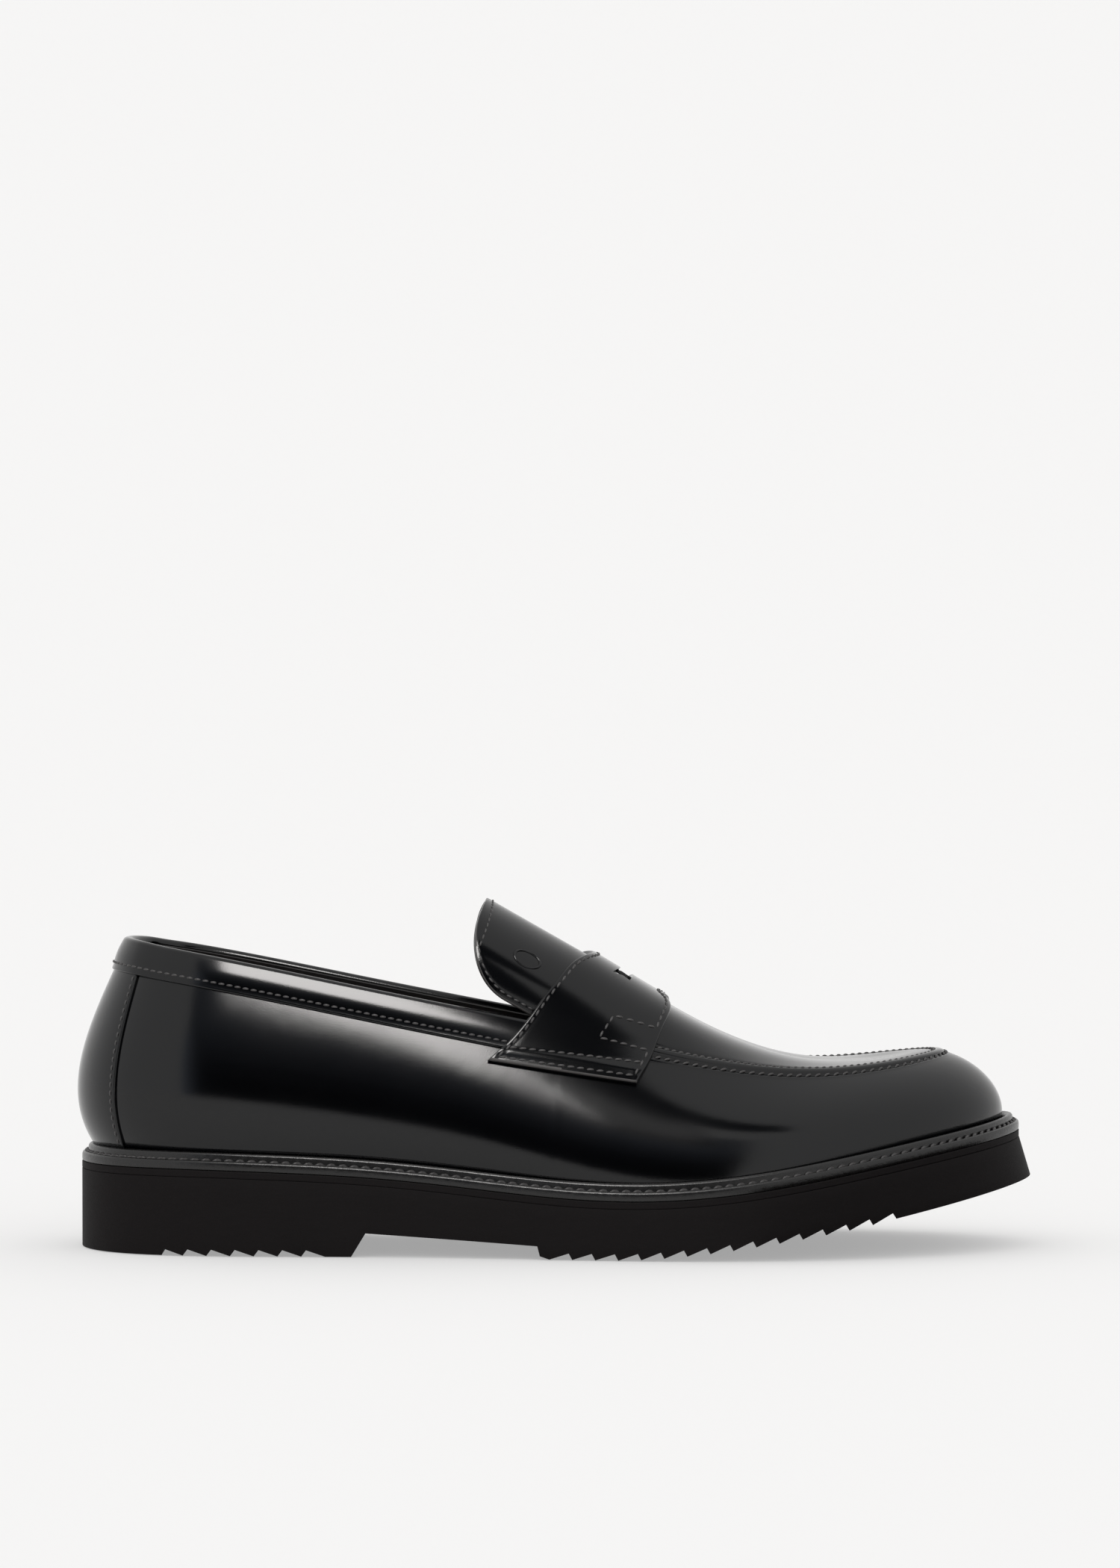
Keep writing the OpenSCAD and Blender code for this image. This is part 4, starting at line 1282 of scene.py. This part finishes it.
class LoaferColours(bpy.types.PropertyGroup):
    """Colours of the finishes."""

    calf: FloatVectorProperty(name="Calf", description="Box calf of the upper",
                              default=(0.0009, 0.0010, 0.0014), min=0, max=1, subtype="COLOR")
    edge: FloatVectorProperty(name="Edge", description="Painted cut edges",
                              default=(0.034, 0.030, 0.029), min=0, max=1, subtype="COLOR")
    foam: FloatVectorProperty(name="Foam", description="Foam rubber of the sole",
                              default=(0.0052, 0.0038, 0.0040), min=0, max=1, subtype="COLOR")
    welt: FloatVectorProperty(name="Welt", description="Welt leather",
                              default=(0.0035, 0.0030, 0.0030), min=0, max=1, subtype="COLOR")
    thread: FloatVectorProperty(name="Thread", description="Thread of all seams",
                                default=(0.046, 0.043, 0.043), min=0, max=1, subtype="COLOR")
    lining: FloatVectorProperty(name="Lining", description="Lining leather",
                                default=(0.009, 0.007, 0.0065), min=0, max=1, subtype="COLOR")


class LOAFER_OT_finishes(bpy.types.Operator):
    """Make the finishes, and dress the inner pieces of the frame in them"""

    bl_idname = "loafer.finishes"
    bl_label = "Finishes"

    def execute(self, context):
        make_finishes(context.scene.loafer_colours)
        dress_inner_pieces()
        return {"FINISHED"}


class LOAFER_OT_sole(bpy.types.Operator):
    """Make the outsole, the midsole and the welt with its thread"""

    bl_idname = "loafer.sole"
    bl_label = "Sole and welt"

    def execute(self, context):
        sizes = context.scene.loafer_sizes
        make_soles(sizes)
        make_welt_strip(sizes)
        make_welt_thread(sizes)
        return {"FINISHED"}


class LOAFER_OT_inside(bpy.types.Operator):
    """Make the linings, the heel grip and the sock lining"""

    bl_idname = "loafer.inside"
    bl_label = "Inside"

    def execute(self, context):
        sizes = context.scene.loafer_sizes
        make_linings(sizes)
        make_footbed(sizes)
        return {"FINISHED"}


class LOAFER_OT_upper(bpy.types.Operator):
    """Make the side wall, the apron, the collar and the backstay"""

    bl_idname = "loafer.upper"
    bl_label = "Upper"

    def execute(self, context):
        sizes = context.scene.loafer_sizes
        make_side_wall(sizes)
        make_apron(sizes)
        make_collar(sizes)
        make_backstay(sizes)
        make_upper_threads(sizes)
        return {"FINISHED"}


class LOAFER_OT_strap(bpy.types.Operator):
    """Make the saddle strap and its thread"""

    bl_idname = "loafer.strap"
    bl_label = "Saddle strap"

    def execute(self, context):
        sizes = context.scene.loafer_sizes
        make_strap(sizes)
        make_strap_thread(sizes)
        return {"FINISHED"}


class LOAFER_OT_tongue(bpy.types.Operator):
    """Make the tongue, its lining, its emblem and its thread"""

    bl_idname = "loafer.tongue"
    bl_label = "Tongue"

    def execute(self, context):
        sizes = context.scene.loafer_sizes
        make_tongue(sizes)
        make_tongue_thread(sizes)
        return {"FINISHED"}


class LOAFER_OT_stage(bpy.types.Operator):
    """Make the floor, the light and the camera"""

    bl_idname = "loafer.stage"
    bl_label = "Stage"

    def execute(self, context):
        make_stage(context.scene.loafer_sizes)
        return {"FINISHED"}


OPERATORS = (LOAFER_OT_finishes, LOAFER_OT_sole, LOAFER_OT_inside, LOAFER_OT_upper,
             LOAFER_OT_strap, LOAFER_OT_tongue, LOAFER_OT_stage)


class LOAFER_PT_make(bpy.types.Panel):
    """The loafer's pieces, sizes and colours"""

    bl_idname = "LOAFER_PT_make"
    bl_label = "Penny Loafer"
    bl_space_type = "VIEW_3D"
    bl_region_type = "UI"
    bl_category = "Loafer"

    def draw(self, context):
        for group in (context.scene.loafer_sizes, context.scene.loafer_colours):
            for name in group.__annotations__:
                self.layout.prop(group, name)
        for operator in OPERATORS:
            self.layout.operator(operator.bl_idname)


CLASSES = (LoaferSizes, LoaferColours, *OPERATORS, LOAFER_PT_make)


def register():
    for cls in CLASSES:
        bpy.utils.register_class(cls)
    bpy.types.Scene.loafer_sizes = PointerProperty(type=LoaferSizes)
    bpy.types.Scene.loafer_colours = PointerProperty(type=LoaferColours)


def unregister():
    del bpy.types.Scene.loafer_colours
    del bpy.types.Scene.loafer_sizes
    for cls in reversed(CLASSES):
        bpy.utils.unregister_class(cls)


def main():
    register()
    only(None)
    bpy.ops.loafer.finishes()
    bpy.ops.loafer.sole()
    bpy.ops.loafer.inside()
    bpy.ops.loafer.upper()
    bpy.ops.loafer.strap()
    bpy.ops.loafer.tongue()
    bpy.ops.loafer.stage()


if __name__ == "__main__":
    main()
